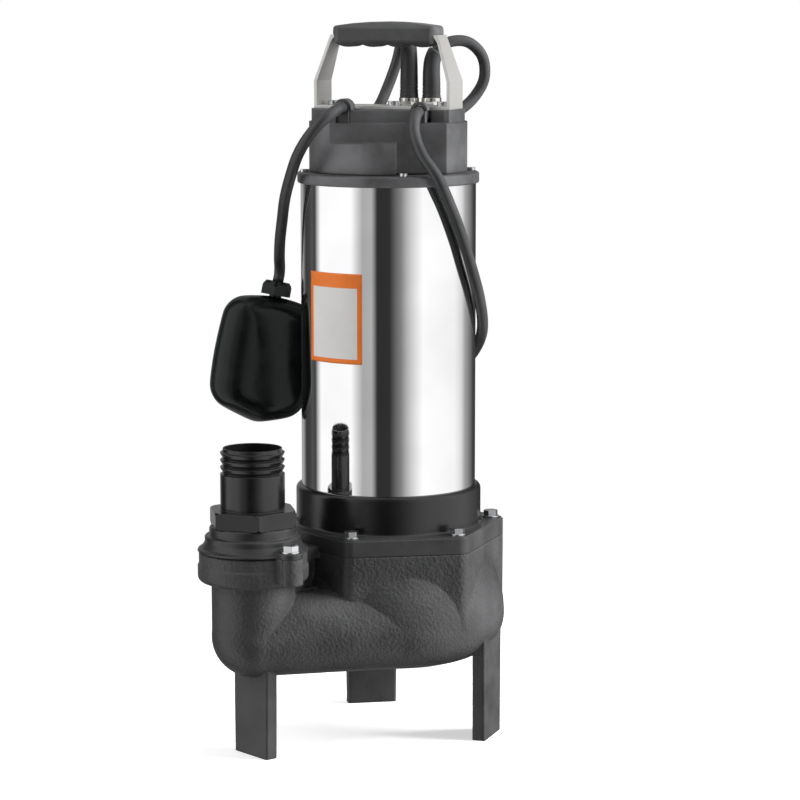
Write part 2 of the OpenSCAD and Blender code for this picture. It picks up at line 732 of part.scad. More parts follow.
module float_cable_boot() color("#232427") at_gland(float_gland_uw) boot(float_route[0][2] - deck_z - 0.52);
module power_cord_boot() color("#232427") at_gland(power_gland_uw) boot(power_route[0][2] - deck_z - 0.27);

// A collar round a cable, with a foot down to the channel's floor
module clip(u, w_front, z_mid, len) on_handle() translate([u, w_front + 0.3, 0]) difference() {
    union() {
        translate([0, 0, z_mid]) rotate([-90, 0, 0]) cylinder(r = cord_r + 2.5, h = len);
        translate([0.2 - channel_r, 0, ledge_z + 0.32])
            cube([2 * channel_r - 0.4, len, z_mid - ledge_z]);
    }
    translate([0, -1, z_mid]) rotate([-90, 0, 0]) cylinder(r = cord_r + 0.3, h = len + 2);
    for (s = [-1, 1]) translate([s * (10 + channel_r - 0.2) - 10, -1, z_mid - 12])
        cube([20, len + 2, deck_z + 0.02 - z_mid + 12]);
}

module cable_clips() color("#151517") {
    clip(float_channel_u, swing_w, swing_at[2], 9.5);
    clip(power_channel_u, -30, power_clip_z, 6);
}

// ---- Cords ----
// Route points are measured from the motor axis. Heights are from the deck beside the cover, and from the
// ground further down.

function from_deck(points) = [for (p = points) p + [0, 0, deck_z]];

swing_dir = [cos(30), sin(30), 0];
swing_w = -48;
swing_at = [cos(handle_angle) * float_channel_u - sin(handle_angle) * swing_w,
    sin(handle_angle) * float_channel_u + cos(handle_angle) * swing_w, deck_z + 2];

float_route = concat(from_deck([[28, 7.5, 39], [28.2, 7.9, 43], [31, 13, 53], [36.5, 23.5, 59.5],
    [43, 34, 53], [42.5, 40, 35], [33, 40, 15], [20, 35, 0.5], [6.6, 27.5, -5], [-10.2, 17.8, -5],
    [-26.5, 8.5, -4.8]]), [swing_at + 15 * swing_dir - [0, 0, 1.5], swing_at + 9 * swing_dir, swing_at]);

drop_route = from_deck([[-65, -14, 0], [-75, -10, -7.5], [-80.5, -0.5, -19.5], [-80.5, 13, -34],
    [-76, 28, -51], [-69, 44.5, -70], [-59.5, 60.5, -89], [-51, 74.5, -107], [-43.5, 85, -122]]);

power_clip_z = deck_z - 0.5;
power_route = concat(from_deck([[40.2, -5.7, 30], [40.4, -5.8, 34], [43, -7, 43.5], [51.5, -12, 51],
    [67, -18, 51.5], [79.5, -22, 40], [83, -20.5, 22], [75, -16.5, 6.5], [59.5, -15, -3.5], [41.5, -20, -5],
    [18.5, -31.2, -5], [5, -38.7, -4.8], [-2, -42.7, -0.5], [-9, -46.7, -0.5], [-15.5, -50.8, -3.5],
    [-20.5, -55.5, -16], [-21.5, -65.5, -32.5], [-15.5, -77, -50], [-1, -79, -74], [13, -76.5, -99],
    [28, -72.5, -126], [45, -62, -153], [60, -46.5, -177], [72.5, -22, -197], [77.5, 3, -216],
    [78, 22, -239], [77, 34, -265], [78.5, 44, -291]]), [[83, 55, 181], [90, 64, 154], [96, 70, 126],
    [101, 75, 98], [108, 80, 71], [118, 87, 45], [131, 98, 24], [145, 111, 11], [160, 127, 5.5]]);

float_at = [-51.4, 95.3, deck_z - 202];
float_turn = -15;

function spin_z(p, a) = [p[0] * cos(a) - p[1] * sin(a), p[0] * sin(a) + p[1] * cos(a), p[2]];
function tilt_y(p, a) = [p[0] * cos(a) + p[2] * sin(a), p[1], p[2] * cos(a) - p[0] * sin(a)];
function on_float(p) = float_at + spin_z(tilt_y(p, float_lean), float_turn);

gland_top = float_h / 2 + 11.5;
drop_end = on_float([0, 0, gland_top + 0.02]);
drop_above = on_float([0, 0, gland_top + 8]);

// One tube swept along points: a ring at each point, turned as little as possible
function unit(v) = v / norm(v);
function way(p, i) = let (n = len(p) - 1)
    i == 0 ? unit(p[1] - p[0]) : i == n ? unit(p[n] - p[n - 1])
    : unit(unit(p[i] - p[i - 1]) + unit(p[i + 1] - p[i]));
function side_of(t) = unit(cross(t, abs(t[2]) < 0.9 ? [0, 0, 1] : [1, 0, 0]));
function carried(s, t) = unit(s - (s * t) * t);
function ring_sides(p) = [for (i = 0, s = side_of(way(p, 0)); i < len(p); i = i + 1,
    s = i < len(p) ? carried(s, way(p, i)) : s) s];

module tube(p, r, sides) {
    n = len(p);
    s = ring_sides(p);
    points = [for (i = [0:n - 1]) let (t = way(p, i), u = s[i], v = cross(t, u))
        for (k = [0:sides - 1]) let (a = 360 * k / sides) p[i] + r * (cos(a) * u + sin(a) * v)];
    quads = [for (i = [0:n - 2]) for (k = [0:sides - 1]) let (a = i * sides + k,
        b = i * sides + (k + 1) % sides) each [[a, a + sides, b + sides], [a, b + sides, b]]];
    first = [for (k = [1:sides - 2]) [0, k, k + 1]];
    last = [for (k = [1:sides - 2]) let (m = (n - 1) * sides) [m, m + k + 1, m + k]];
    polyhedron(points, concat(quads, first, last), convexity = 10);
}

module float_cable_fixed() color("#1c1d1f") on_motor() tube(float_route, cord_r, 8);

module float_cable_drop() color("#1c1d1f") on_motor() tube(concat(
    [swing_at - 0.2 * swing_dir, swing_at - 8 * swing_dir], drop_route, [drop_above, drop_end]),
    cord_r, 8);

// The coil: four layers that spiral in and out, the turns a hair more than a cord apart.
// It climbs a layer in the half turn where the spiral reverses.
coil_at = [145, 215];
coil_turn = 50;
coil_pitch = 9.6;
coil_mid_r = 49;
layer_turns = 4;
coil_turns = 15.5;
steps = 24;

function turns_in(t) = let (m = t % (2 * layer_turns)) min(m, 2 * layer_turns - m);
function coil_radius(t) = coil_mid_r + coil_pitch * (layer_turns / 2 - turns_in(t));
function climbed(t, at) = min(1, max(0, 2 * (t - at) + 0.5));
function coil_height(t) = cord_r + coil_pitch * (climbed(t, layer_turns)
    + climbed(t, 2 * layer_turns) + climbed(t, 3 * layer_turns));
function coil_point(t) = let (a = 360 * t + coil_turn - 90, r = coil_radius(t))
    [coil_at[0] + r * cos(a), coil_at[1] + r * sin(a), coil_height(t)];

coil_way_in = [cos(coil_turn), sin(coil_turn), 0];
coil_body = [for (i = [0:coil_turns * steps]) coil_point(i / steps)];
coil_path = concat([coil_body[0] - 9 * coil_way_in], coil_body,
    [coil_body[len(coil_body) - 1] - 9 * coil_way_in]);

module cord_coil() color("#1c1d1f") on_motor() {
    n = len(coil_body) - 1;
    near = min([for (i = [0:n - steps / 2]) for (j = [i + steps / 2:n])
        norm(coil_body[j] - coil_body[i])]);
    echo(least_gap_of_the_coil_to_itself = near - 2 * cord_r);
    tube(coil_path, cord_r, 6);
}

module power_cord() color("#1c1d1f") on_motor() tube(concat(power_route,
    [coil_path[0] - 26 * coil_way_in, coil_path[0]]), cord_r, 8);

// The end of the cord curls in over the coil to the plug that lies on it
tail_start = coil_path[len(coil_path) - 1];
coil_tail_side = [sin(coil_turn), -cos(coil_turn), 0];
tail_r = 36;
tail_lead = 4;
plug_z = cord_r * 2 + coil_pitch * 3 + 13.3;

tail_path = [for (i = [0:6]) let (a = 15 * i)
    tail_start - (tail_lead + tail_r * sin(a)) * coil_way_in + tail_r * (1 - cos(a)) * coil_tail_side
        + [0, 0, (plug_z - tail_start[2]) * (1 - cos(30 * i)) / 2]];
tail_end = tail_path[6] + 9 * coil_tail_side;

module cord_tail() color("#1c1d1f") on_motor() tube(concat([tail_start], tail_path, [tail_end]), cord_r, 8);

module on_plug() on_motor() translate(tail_end) rotate(coil_turn - 90) rotate([0, 90, 0]) children();

module power_plug() color("#1c1d1f") on_plug() union() {
    cylinder(r = 6.5, h = 12);
    translate([0, 0, 10]) intersection() {
        cylinder(r1 = 8, r2 = 22, h = 18);
        translate([-13, -17, 0]) cube([26, 34, 30]);
    }
    translate([-13, -17, 27]) cube([26, 34, 16]);
}

module plug_pins() color("#c8b560") on_plug() translate([0, 0, 43.02]) {
    for (s = [-1, 1]) translate([2, s * 6.35 - 0.75, 0]) cube([6.3, 1.5, 16]);
    translate([-6.6, 0, 0]) cylinder(r = 2.4, h = 19);
}

// ---- Float switch ----

module in_float() on_motor() translate(float_at) rotate(float_turn) rotate([0, float_lean, 0])
    children();

top_r = 20;

// A flattened pear, wider at the bottom
module float_shape(inset, detail) {
    low_r = float_t / 2;
    hull() for (s = [-1, 1]) {
        translate([s * (float_w / 2 - 30), 0, float_h / 2 - top_r])
            sphere(top_r - inset, $fn = detail);
        translate([s * (float_w / 2 - low_r), 0, low_r - float_h / 2 + 8])
            sphere(low_r - inset, $fn = detail);
        translate([s * (float_w / 2 - low_r - 14), 0, low_r - float_h / 2])
            sphere(low_r - inset, $fn = detail);
    }
}

module float_half(side) in_float() intersection() {
    difference() {
        float_shape(0, 28);
        float_shape(float_wall, 16);
        translate([0, 0, float_h / 2 - 10]) cylinder(r = 5.2, h = 30);
    }
    translate([-float_w, side < 0 ? -float_t : 0, -float_h]) cube([2 * float_w, float_t, 2 * float_h]);
}

module float_front_shell() color("#17191b") float_half(-1);
module float_rear_shell() color("#17191b") float_half(1);

module float_gland_nut() color("#17191b") in_float() {
    translate([0, 0, float_h / 2 + 0.2]) intersection() {
        cylinder(r = 13, h = 11.3, $fn = 6);
        cylinder(r1 = 18, r2 = 9.5, h = 11.3);
    }
    translate([0, 0, float_h / 2 - 6]) cylinder(r = 5, h = 7);
}

ball_r = 8;
cage_r = 11;
cage_len = 46;
cage_z = -float_h / 2 + 9;

module float_ball_cage() color("#e4e0d4") in_float() translate([0, 0, cage_z]) difference() {
    union() {
        cylinder(r = cage_r, h = cage_len);
        translate([-4, -float_t / 2 + float_wall + 0.7, 12]) cube([8, float_t - 2 * float_wall - 1.4, 14]);
    }
    translate([0, 0, 3]) cylinder(r = ball_r + fit, h = cage_len - 6);
}

module float_ball() color("silver") in_float()
    translate([0, 0, cage_z + 3 + ball_r + 0.1]) sphere(ball_r);

module float_microswitch() color("#2b2b2b") in_float()
    translate([-10, -5, cage_z + cage_len + 0.1]) cube([20, 10, 16]);

volute_casing();
casing_gasket();
oil_chamber();
casing_bolts();
seal_seat();
seal_ring();
seal_spring();
lower_bearing_outer();
lower_bearing_inner();
lower_bearing_balls();
upper_bearing_outer();
upper_bearing_inner();
upper_bearing_balls();
motor_shell();
stator_core();
stator_windings();
rotor_core();
motor_shaft();
impeller();
impeller_nut();
upper_bracket();
bracket_screws();
cover_gasket();
top_cover();
capacitor();
terminal_block();
flange_gasket();
outlet_adapter();
adapter_bolts();
hose_barb();
handle_strap();
handle_grip();
strap_screws();
cable_glands();
float_cable_boot();
power_cord_boot();
cable_clips();
float_cable_fixed();
float_cable_drop();
float_front_shell();
float_rear_shell();
float_gland_nut();
float_ball_cage();
float_ball();
float_microswitch();
power_cord();
cord_coil();
cord_tail();
power_plug();
plug_pins();
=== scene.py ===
"""Dresses a submersible sump pump: its cords, castings, polished shell, float, fastenings and stage."""

import math

import bmesh
import bpy
from bpy.props import FloatProperty, FloatVectorProperty, IntProperty, PointerProperty
from mathutils import Matrix, Vector


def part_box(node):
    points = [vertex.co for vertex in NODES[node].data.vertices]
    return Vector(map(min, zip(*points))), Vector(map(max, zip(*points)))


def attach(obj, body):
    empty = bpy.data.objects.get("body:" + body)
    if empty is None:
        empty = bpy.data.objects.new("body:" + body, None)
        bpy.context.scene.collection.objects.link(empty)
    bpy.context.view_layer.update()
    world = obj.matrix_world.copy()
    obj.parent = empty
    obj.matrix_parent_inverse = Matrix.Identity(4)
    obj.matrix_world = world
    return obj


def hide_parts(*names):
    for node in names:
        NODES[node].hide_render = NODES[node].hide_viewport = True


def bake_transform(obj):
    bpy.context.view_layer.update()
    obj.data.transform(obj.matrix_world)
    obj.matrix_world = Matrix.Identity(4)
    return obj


bl_info = {
    "name": "Submersible Sump Pump",
    "version": (1, 0, 0),
    "blender": (4, 5, 0),
    "location": "View3D > Sidebar > Sump Pump",
    "description": "Builds the looks of a submersible sump pump around its packed frame",
    "category": "Add Mesh",
}

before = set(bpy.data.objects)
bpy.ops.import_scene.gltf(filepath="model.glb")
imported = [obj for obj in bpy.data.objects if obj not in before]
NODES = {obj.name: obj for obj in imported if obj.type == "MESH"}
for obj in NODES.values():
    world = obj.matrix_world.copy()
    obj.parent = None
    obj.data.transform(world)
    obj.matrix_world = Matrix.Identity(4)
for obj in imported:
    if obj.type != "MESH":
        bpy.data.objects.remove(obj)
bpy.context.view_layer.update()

MM = 0.001
OUTLET_TURN = math.radians(40)
HANDLE_TURN = math.radians(-60)


def motor_axis():
    """The middle of the motor shell, on the ground."""
    low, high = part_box("motor_shell")
    return Vector(((low[0] + high[0]) / 2, (low[1] + high[1]) / 2, 0))


MOTOR = motor_axis()
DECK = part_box("handle_strap")[0][2] / MM
SHELL_R = 0.0695


def at_motor(x, y, z=0.0):
    """A point in millimetres from the motor axis, along and across the line through the outlet, in metres."""
    c, s = math.cos(OUTLET_TURN), math.sin(OUTLET_TURN)
    return MOTOR + MM * Vector((x * c - y * s, x * s + y * c, z))


def on_handle(u, w, z=0.0):
    """A point in millimetres along and across the handle, about the motor axis, in metres."""
    c, s = math.cos(HANDLE_TURN), math.sin(HANDLE_TURN)
    return at_motor(u * c - w * s, u * s + w * c, z)


# ---------------------------------------------------------------- settings


def length(name, description, default):
    """A length setting."""
    return FloatProperty(name=name, description=description, default=default, subtype="DISTANCE", unit="LENGTH")


def colour(name, description, default):
    """A colour setting."""
    return FloatVectorProperty(
        name=name, description=description, default=default, subtype="COLOR", size=3, min=0, max=1
    )


class PumpSizes(bpy.types.PropertyGroup):
    """Sizes of the dressed pieces"""

    cord_diameter: length("Cord diameter", "Diameter of both rubber cords", 0.009)
    least_bend: length("Least bend", "Smallest bend radius of the cords", 0.0178)
    cord_sides: IntProperty(name="Cord sides", description="Sides of the cords' tubes", default=16, min=8, max=32)
    label_width: length("Label width", "Width of the blank label", 0.0525)
    label_height: length("Label height", "Height of the blank label", 0.0705)
    camera_height: length("Camera height", "Height of the camera above the floor", 0.594)
    camera_distance: length("Camera distance", "Level distance from the motor axis", 2.28)


class PumpColours(bpy.types.PropertyGroup):
    """Colours of the dressed pieces"""

    paint: colour("Casting paint", "Black paint on the castings", (0.028, 0.0282, 0.029))
    steel: colour("Polished steel", "Mirror-polished stainless steel", (0.86, 0.86, 0.87))
    strap: colour("Strap steel", "Satin stainless strip of the handle", (0.74, 0.73, 0.71))
    rubber: colour("Rubber", "Black rubber of cords and boots", (0.030, 0.0305, 0.032))
    float_plastic: colour("Float plastic", "Glossy black plastic of the float", (0.006, 0.008, 0.008))
    label_edge: colour("Label edge", "Orange border of the blank label", (0.87, 0.20, 0.02))


# ---------------------------------------------------------------- mesh helpers


def new_mesh(name, verts, faces, smooth=True, finish=None, body=None, replaces=()):
    """A mesh object with a finish, that rides on a body and stands for CAD nodes."""
    data = bpy.data.meshes.new(name)
    data.from_pydata([tuple(v) for v in verts], [], faces)
    bm = bmesh.new()
    bm.from_mesh(data)
    bmesh.ops.recalc_face_normals(bm, faces=bm.faces)
    bm.to_mesh(data)
    bm.free()
    data.update()
    if smooth:
        data.shade_smooth()
    obj = bpy.data.objects.new(name, data)
    bpy.context.scene.collection.objects.link(obj)
    if finish:
        data.materials.append(bpy.data.materials[finish])
    if body:
        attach(obj, body)
    if replaces:
        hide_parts(*replaces)
    return obj


def smooth_path(points, step):
    """Points every step or so along a centripetal Catmull-Rom curve through the given points."""
    pts = [Vector(p) for p in points]
    pts = [2 * pts[0] - pts[1]] + pts + [2 * pts[-1] - pts[-2]]
    out = []
    for i in range(1, len(pts) - 2):
        p0, p1, p2, p3 = pts[i - 1 : i + 3]
        t0 = 0.0
        t1 = t0 + math.sqrt((p1 - p0).length)
        t2 = t1 + math.sqrt((p2 - p1).length)
        t3 = t2 + math.sqrt((p3 - p2).length)
        count = max(1, round((p2 - p1).length / step))
        for k in range(count):
            t = t1 + (t2 - t1) * k / count
            a1 = p0.lerp(p1, (t - t0) / (t1 - t0))
            a2 = p1.lerp(p2, (t - t1) / (t2 - t1))
            a3 = p2.lerp(p3, (t - t2) / (t3 - t2))
            b1 = a1.lerp(a2, (t - t0) / (t2 - t0))
            b2 = a2.lerp(a3, (t - t1) / (t3 - t1))
            out.append(b1.lerp(b2, (t - t1) / (t2 - t1)))
    out.append(pts[-2])
    return out


EASING_ROUNDS = 240


def ease_bends(path, least):
    """The path with its bends eased to the least radius, three points held at both ends."""
    for _ in range(EASING_ROUNDS):
        eased = list(path)
        for i in range(3, len(path) - 3):
            middle = (path[i - 1] + path[i + 1]) / 2
            sag = (middle - path[i]).length
            most = (path[i + 1] - path[i - 1]).length_squared / 8 / least
            if sag > most:
                eased[i] = path[i].lerp(middle, 0.5 * (1 - most / sag))
        path = eased
    return path


def ring_faces(rows, sides):
    """Faces between rings of vertices, each ring given by its first vertex."""
    return [
        (a + k, a + (k + 1) % sides, b + (k + 1) % sides, b + k)
        for a, b in zip(rows, rows[1:])
        for k in range(sides)
    ]


def tube_shell(path, radius, sides):
    """Vertices and faces of a closed round tube along a path."""
    verts = []
    count = len(path)
    side = None
    for i, p in enumerate(path):
        ahead = path[min(i + 1, count - 1)] - path[max(i - 1, 0)]
        ahead.normalize()
        if side is None:
            up = Vector((0, 0, 1)) if abs(ahead.z) < 0.9 else Vector((1, 0, 0))
            side = ahead.cross(up)
        side = (side - ahead * side.dot(ahead)).normalized()
        other = ahead.cross(side)
        for k in range(sides):
            a = math.tau * k / sides
            verts.append(p + radius * (math.cos(a) * side + math.sin(a) * other))
    faces = ring_faces(range(0, count * sides, sides), sides)
    faces.append(tuple(reversed(range(sides))))
    faces.append(tuple(range((count - 1) * sides, count * sides)))
    return verts, faces


def sleeve_shell(path, outer, inner, sides):
    """Vertices and faces of a round sleeve along a path, with an outer radius for each point and one bore."""
    verts = []
    count = len(path)
    solid, _ = tube_shell(path, 1.0, sides)
    for radii in (outer, [inner] * count):
        for i, p in enumerate(path):
            verts += [p + radii[i] * (v - p) for v in solid[i * sides : (i + 1) * sides]]
    rows = [i * sides for i in range(count)] + [(2 * count - 1 - i) * sides for i in range(count)]
    return verts, ring_faces(rows + rows[:1], sides)


# ---------------------------------------------------------------- shader groups


def node_group(name, inputs, outputs):
    """A new shader node group with its sockets, and its input and output nodes."""
    group = bpy.data.node_groups.new(name, "ShaderNodeTree")
    for label, value in inputs.items():
        kind = "NodeSocketVector" if isinstance(value, tuple) else "NodeSocketFloat"
        group.interface.new_socket(name=label, in_out="INPUT", socket_type=kind).default_value = value
    for label in outputs:
        kind = "NodeSocketVector" if label == "Normal" else "NodeSocketFloat"
        group.interface.new_socket(name=label, in_out="OUTPUT", socket_type=kind)
    return group, group.nodes.new("NodeGroupInput"), group.nodes.new("NodeGroupOutput")


def add(tree, kind, **values):
    """A node in a tree, with properties and input values by name."""
    node = tree.nodes.new(kind)
    for key, value in values.items():
        if hasattr(node, key):
            setattr(node, key, value)
        else:
            node.inputs[key.replace("_", " ")].default_value = value
    return node


def math_node(tree, operation, a, b=None, clamp=False):
    """A maths node fed by sockets or numbers; returns its output."""
    node = tree.nodes.new("ShaderNodeMath")
    node.operation = operation
    node.use_clamp = clamp
    for i, value in enumerate((a, b)):
        if value is None:
            continue
        if isinstance(value, (int, float)):
            node.inputs[i].default_value = value
        else:
            tree.links.new(value, node.inputs[i])
    return node.outputs[0]


def noise(tree, vector, size, **values):
    """A noise along a vector, with features of the size that a socket gives."""
    node = add(tree, "ShaderNodeTexNoise", **values)
    tree.links.new(vector, node.inputs["Vector"])
    tree.links.new(math_node(tree, "DIVIDE", 1.0, size), node.inputs["Scale"])
    return node.outputs["Fac"]


def grain_group():
    """Bumps of two sizes and blotches, as on cast or moulded surfaces."""
    group, start, end = node_group(
        "SurfaceGrain", {"Grain size": 0.002, "Coarse share": 0.5, "Blotch size": 0.05}, ("Height", "Blotches")
    )
    coords = add(group, "ShaderNodeTexCoord").outputs["Object"]
    scale = math_node(group, "DIVIDE", 1.0, start.outputs["Grain size"])
    coarse = add(group, "ShaderNodeTexVoronoi", feature="SMOOTH_F1")
    coarse.inputs["Smoothness"].default_value = 0.6
    fine = add(group, "ShaderNodeTexNoise", Detail=4.0, Roughness=0.6)
    for texture, factor in ((coarse, 1.0), (fine, 1.9)):
        group.links.new(coords, texture.inputs["Vector"])
        group.links.new(math_node(group, "MULTIPLY", scale, factor), texture.inputs["Scale"])
    mix = add(group, "ShaderNodeMix", data_type="FLOAT")
    group.links.new(start.outputs["Coarse share"], mix.inputs[0])
    group.links.new(fine.outputs["Fac"], mix.inputs[2])
    group.links.new(coarse.outputs["Distance"], mix.inputs[3])
    group.links.new(mix.outputs[0], end.inputs["Height"])
    blotches = noise(group, coords, start.outputs["Blotch size"], Detail=3.0, Roughness=0.55)
    group.links.new(blotches, end.inputs["Blotches"])
    return group


def edge_group():
    """A mask of worn edges and a normal that rounds the edges."""
    group, start, end = node_group(
        "WornEdges", {"Edge width": 0.0015, "Wear": 0.5, "Breakup size": 0.004}, ("Mask", "Normal")
    )
    bevel = add(group, "ShaderNodeBevel", samples=6)
    group.links.new(start.outputs["Edge width"], bevel.inputs["Radius"])
    flat = add(group, "ShaderNodeNewGeometry").outputs["Normal"]
    dot = add(group, "ShaderNodeVectorMath", operation="DOT_PRODUCT")
    group.links.new(bevel.outputs[0], dot.inputs[0])
    group.links.new(flat, dot.inputs[1])
    bend = math_node(group, "SUBTRACT", 1.0, dot.outputs["Value"], clamp=True)
    coords = add(group, "ShaderNodeTexCoord").outputs["Object"]
    breakup = noise(group, coords, start.outputs["Breakup size"], Detail=3.0)
    worn = math_node(group, "MULTIPLY", bend, math_node(group, "MULTIPLY", breakup, 14.0))
    bare = math_node(group, "SUBTRACT", worn, 0.45, clamp=True)
    mask = math_node(group, "MULTIPLY", bare, start.outputs["Wear"], clamp=True)
    group.links.new(mask, end.inputs["Mask"])
    group.links.new(bevel.outputs[0], end.inputs["Normal"])
    return group


def brushed_group():
    """Fine lines along one direction, as polishing leaves on metal."""
    group, start, end = node_group(
        "PolishLines", {"Stretch": (1.0, 1.0, 60.0), "Line size": 0.004}, ("Lines", "Smears")
    )
    coords = add(group, "ShaderNodeTexCoord").outputs["Object"]
    stretch = add(group, "ShaderNodeVectorMath", operation="MULTIPLY")
    group.links.new(coords, stretch.inputs[0])
    group.links.new(start.outputs["Stretch"], stretch.inputs[1])
    lines = noise(group, stretch.outputs[0], start.outputs["Line size"], Detail=5.0, Roughness=0.7)
    smears = add(group, "ShaderNodeTexNoise", Detail=2.0, Scale=18.0)
    group.links.new(coords, smears.inputs["Vector"])
    group.links.new(lines, end.inputs["Lines"])
    group.links.new(smears.outputs["Fac"], end.inputs["Smears"])
    return group


GROUPS = {}


def use_group(tree, name, **values):
    """A shader group in a material, with its own values."""
    if name not in GROUPS:
        GROUPS[name] = {"grain": grain_group, "edges": edge_group, "lines": brushed_group}[name]()
    node = tree.nodes.new("ShaderNodeGroup")
    node.node_tree = GROUPS[name]
    for key, value in values.items():
        node.inputs[key.replace("_", " ")].default_value = value
    return node


def ramp(tree, socket, low, high, out_low, out_high):
    """A value spread from one range onto another."""
    node = add(tree, "ShaderNodeMapRange")
    tree.links.new(socket, node.inputs["Value"])
    for key, value in (("From Min", low), ("From Max", high), ("To Min", out_low), ("To Max", out_high)):
        node.inputs[key].default_value = value
    return node.outputs[0]


def blend_colours(tree, factor, first, second):
    """A colour between two, by a mask. Each colour is a socket or three numbers."""
    node = add(tree, "ShaderNodeMix", data_type="RGBA")
    tree.links.new(factor, node.inputs[0])
    for i, value in ((6, first), (7, second)):
        if isinstance(value, bpy.types.NodeSocket):
            tree.links.new(value, node.inputs[i])
        else:
            node.inputs[i].default_value = (*value, 1.0)
    return node.outputs[2]


def mix_shaders(tree, factor, first, second):
    """A shader between two, by a factor."""
    node = add(tree, "ShaderNodeMixShader")
    for i, socket in enumerate((factor, first, second)):
        tree.links.new(socket, node.inputs[i])
    return node.outputs[0]


def tinted(share, base):
    """A colour made darker or lighter by a share."""
    return tuple(share * c for c in base)


def shader(name, **values):
    """A material with its Principled shader."""
    material = bpy.data.materials.new(name)
    material.use_nodes = True
    tree = material.node_tree
    principled = tree.nodes["Principled BSDF"]
    for key, value in values.items():
        principled.inputs[key.replace("_", " ")].default_value = value
    return material, tree, principled


def bump(tree, principled, height, strength, distance, normal=None):
    """A bump that feeds the shader's normal."""
    node = add(tree, "ShaderNodeBump", Strength=strength, Distance=distance)
    tree.links.new(height, node.inputs["Height"])
    if normal is not None:
        tree.links.new(normal, node.inputs["Normal"])
    tree.links.new(node.outputs[0], principled.inputs["Normal"])


WORN_EDGE = (0.12, 0.12, 0.122)


def painted_casting(
    name, paint, grain, share, depth, rough, edge, wear, smooth_below=None, gloss_above=None, metallic=0.0
):
    """Black paint over cast iron: grain of the sand, blotches and worn edges, smoother or glossier past a height."""
    _, tree, principled = shader(name, Metallic=metallic)
    surface = use_group(tree, "grain", Grain_size=grain, Coarse_share=share, Blotch_size=0.03)
    edges = use_group(tree, "edges", Edge_width=edge, Wear=wear, Breakup_size=0.005)
    lighter = tuple(1.9 * c + 0.004 for c in paint)
    base = blend_colours(tree, ramp(tree, surface.outputs["Blotches"], 0.3, 0.7, 0.0, 1.0), paint, lighter)
    base = blend_colours(tree, edges.outputs["Mask"], base, WORN_EDGE)
    roughness = ramp(tree, surface.outputs["Blotches"], 0.25, 0.75, rough - 0.07, rough + 0.09)
    height = surface.outputs["Height"]
    place = add(tree, "ShaderNodeSeparateXYZ")
    tree.links.new(add(tree, "ShaderNodeTexCoord").outputs["Object"], place.inputs[0])
    level = place.outputs["Z"]
    if smooth_below is not None:
        relief = ramp(tree, level, smooth_below - 0.004, smooth_below + 0.006, 0.2, 1.0)
        height = math_node(tree, "MULTIPLY", height, relief)
    if gloss_above is not None:
        glossy = ramp(tree, level, gloss_above - 0.001, gloss_above + 0.001, 0.0, 1.0)
        base = blend_colours(tree, glossy, base, tinted(0.3, paint))
        roughness = math_node(tree, "MULTIPLY", roughness, ramp(tree, glossy, 0.0, 1.0, 1.0, 0.55))
    tree.links.new(base, principled.inputs["Base Color"])
    tree.links.new(roughness, principled.inputs["Roughness"])
    bump(tree, principled, height, 1.0, depth, edges.outputs["Normal"])


def metal(name, base, rough, size, stretch, contrast, depth=0.00002, metallic=1.0):
    """Bare or plated metal with polishing lines."""
    _, tree, principled = shader(name, Metallic=metallic)
    lines = use_group(tree, "lines", Stretch=stretch, Line_size=size)
    edges = use_group(tree, "edges", Edge_width=0.0006)
    smears = ramp(tree, lines.outputs["Smears"], 0.3, 0.7, 0, 0.7)
    roughness = ramp(tree, lines.outputs["Lines"], 0.3, 0.7, max(0.02, rough - contrast), rough + contrast)
    tree.links.new(blend_colours(tree, smears, base, tinted(0.86, base)), principled.inputs["Base Color"])
    tree.links.new(roughness, principled.inputs["Roughness"])
    bump(tree, principled, lines.outputs["Lines"], 0.5, depth, edges.outputs["Normal"])


def moulded(name, base, rough, grain, depth, gloss=0.5):
    """Rubber, plastic, carbon or ceramic with a fine skin."""
    _, tree, principled = shader(name, Specular_IOR_Level=gloss)
    surface = use_group(tree, "grain", Grain_size=grain, Coarse_share=0.2, Blotch_size=0.02)
    blotches = surface.outputs["Blotches"]
    dusty = tuple(1.7 * c + 0.006 for c in base)
    dust = ramp(tree, blotches, 0.35, 0.75, 0, 0.8)
    roughness = ramp(tree, blotches, 0.3, 0.7, rough - 0.06, rough + 0.08)
    tree.links.new(blend_colours(tree, dust, base, dusty), principled.inputs["Base Color"])
    tree.links.new(roughness, principled.inputs["Roughness"])
    bump(tree, principled, surface.outputs["Height"], 0.8, depth)


def printed(name, rough, first, second):
    """A plain printed sheet, in two shades of one colour."""
    material, tree, principled = shader(name, Roughness=rough)
    surface = use_group(tree, "grain", Grain_size=0.002, Coarse_share=0.1, Blotch_size=0.02)
    blotches = ramp(tree, surface.outputs["Blotches"], 0.3, 0.7, 0, 1)
    tree.links.new(blend_colours(tree, blotches, first, second), principled.inputs["Base Color"])
    return material


def paint_nodes(finish, *names):
    """Gives a finish to CAD nodes."""
    for name in names:
        data = NODES[name].data
        data.materials.clear()
        data.materials.append(bpy.data.materials[finish])


# ---------------------------------------------------------------- cords


def from_deck(points):
    """Points whose heights are measured from the deck of the cover."""
    return [(x, y, DECK + z) for x, y, z in points]


# The way that the float's cable runs back through its collar, and the swing's centre at the collar's mouth
SWING_DIRECTION = Vector((math.cos(math.radians(70)), math.sin(math.radians(70)), 0))
SWING_AT = on_handle(-20.5, -48, DECK + 2)
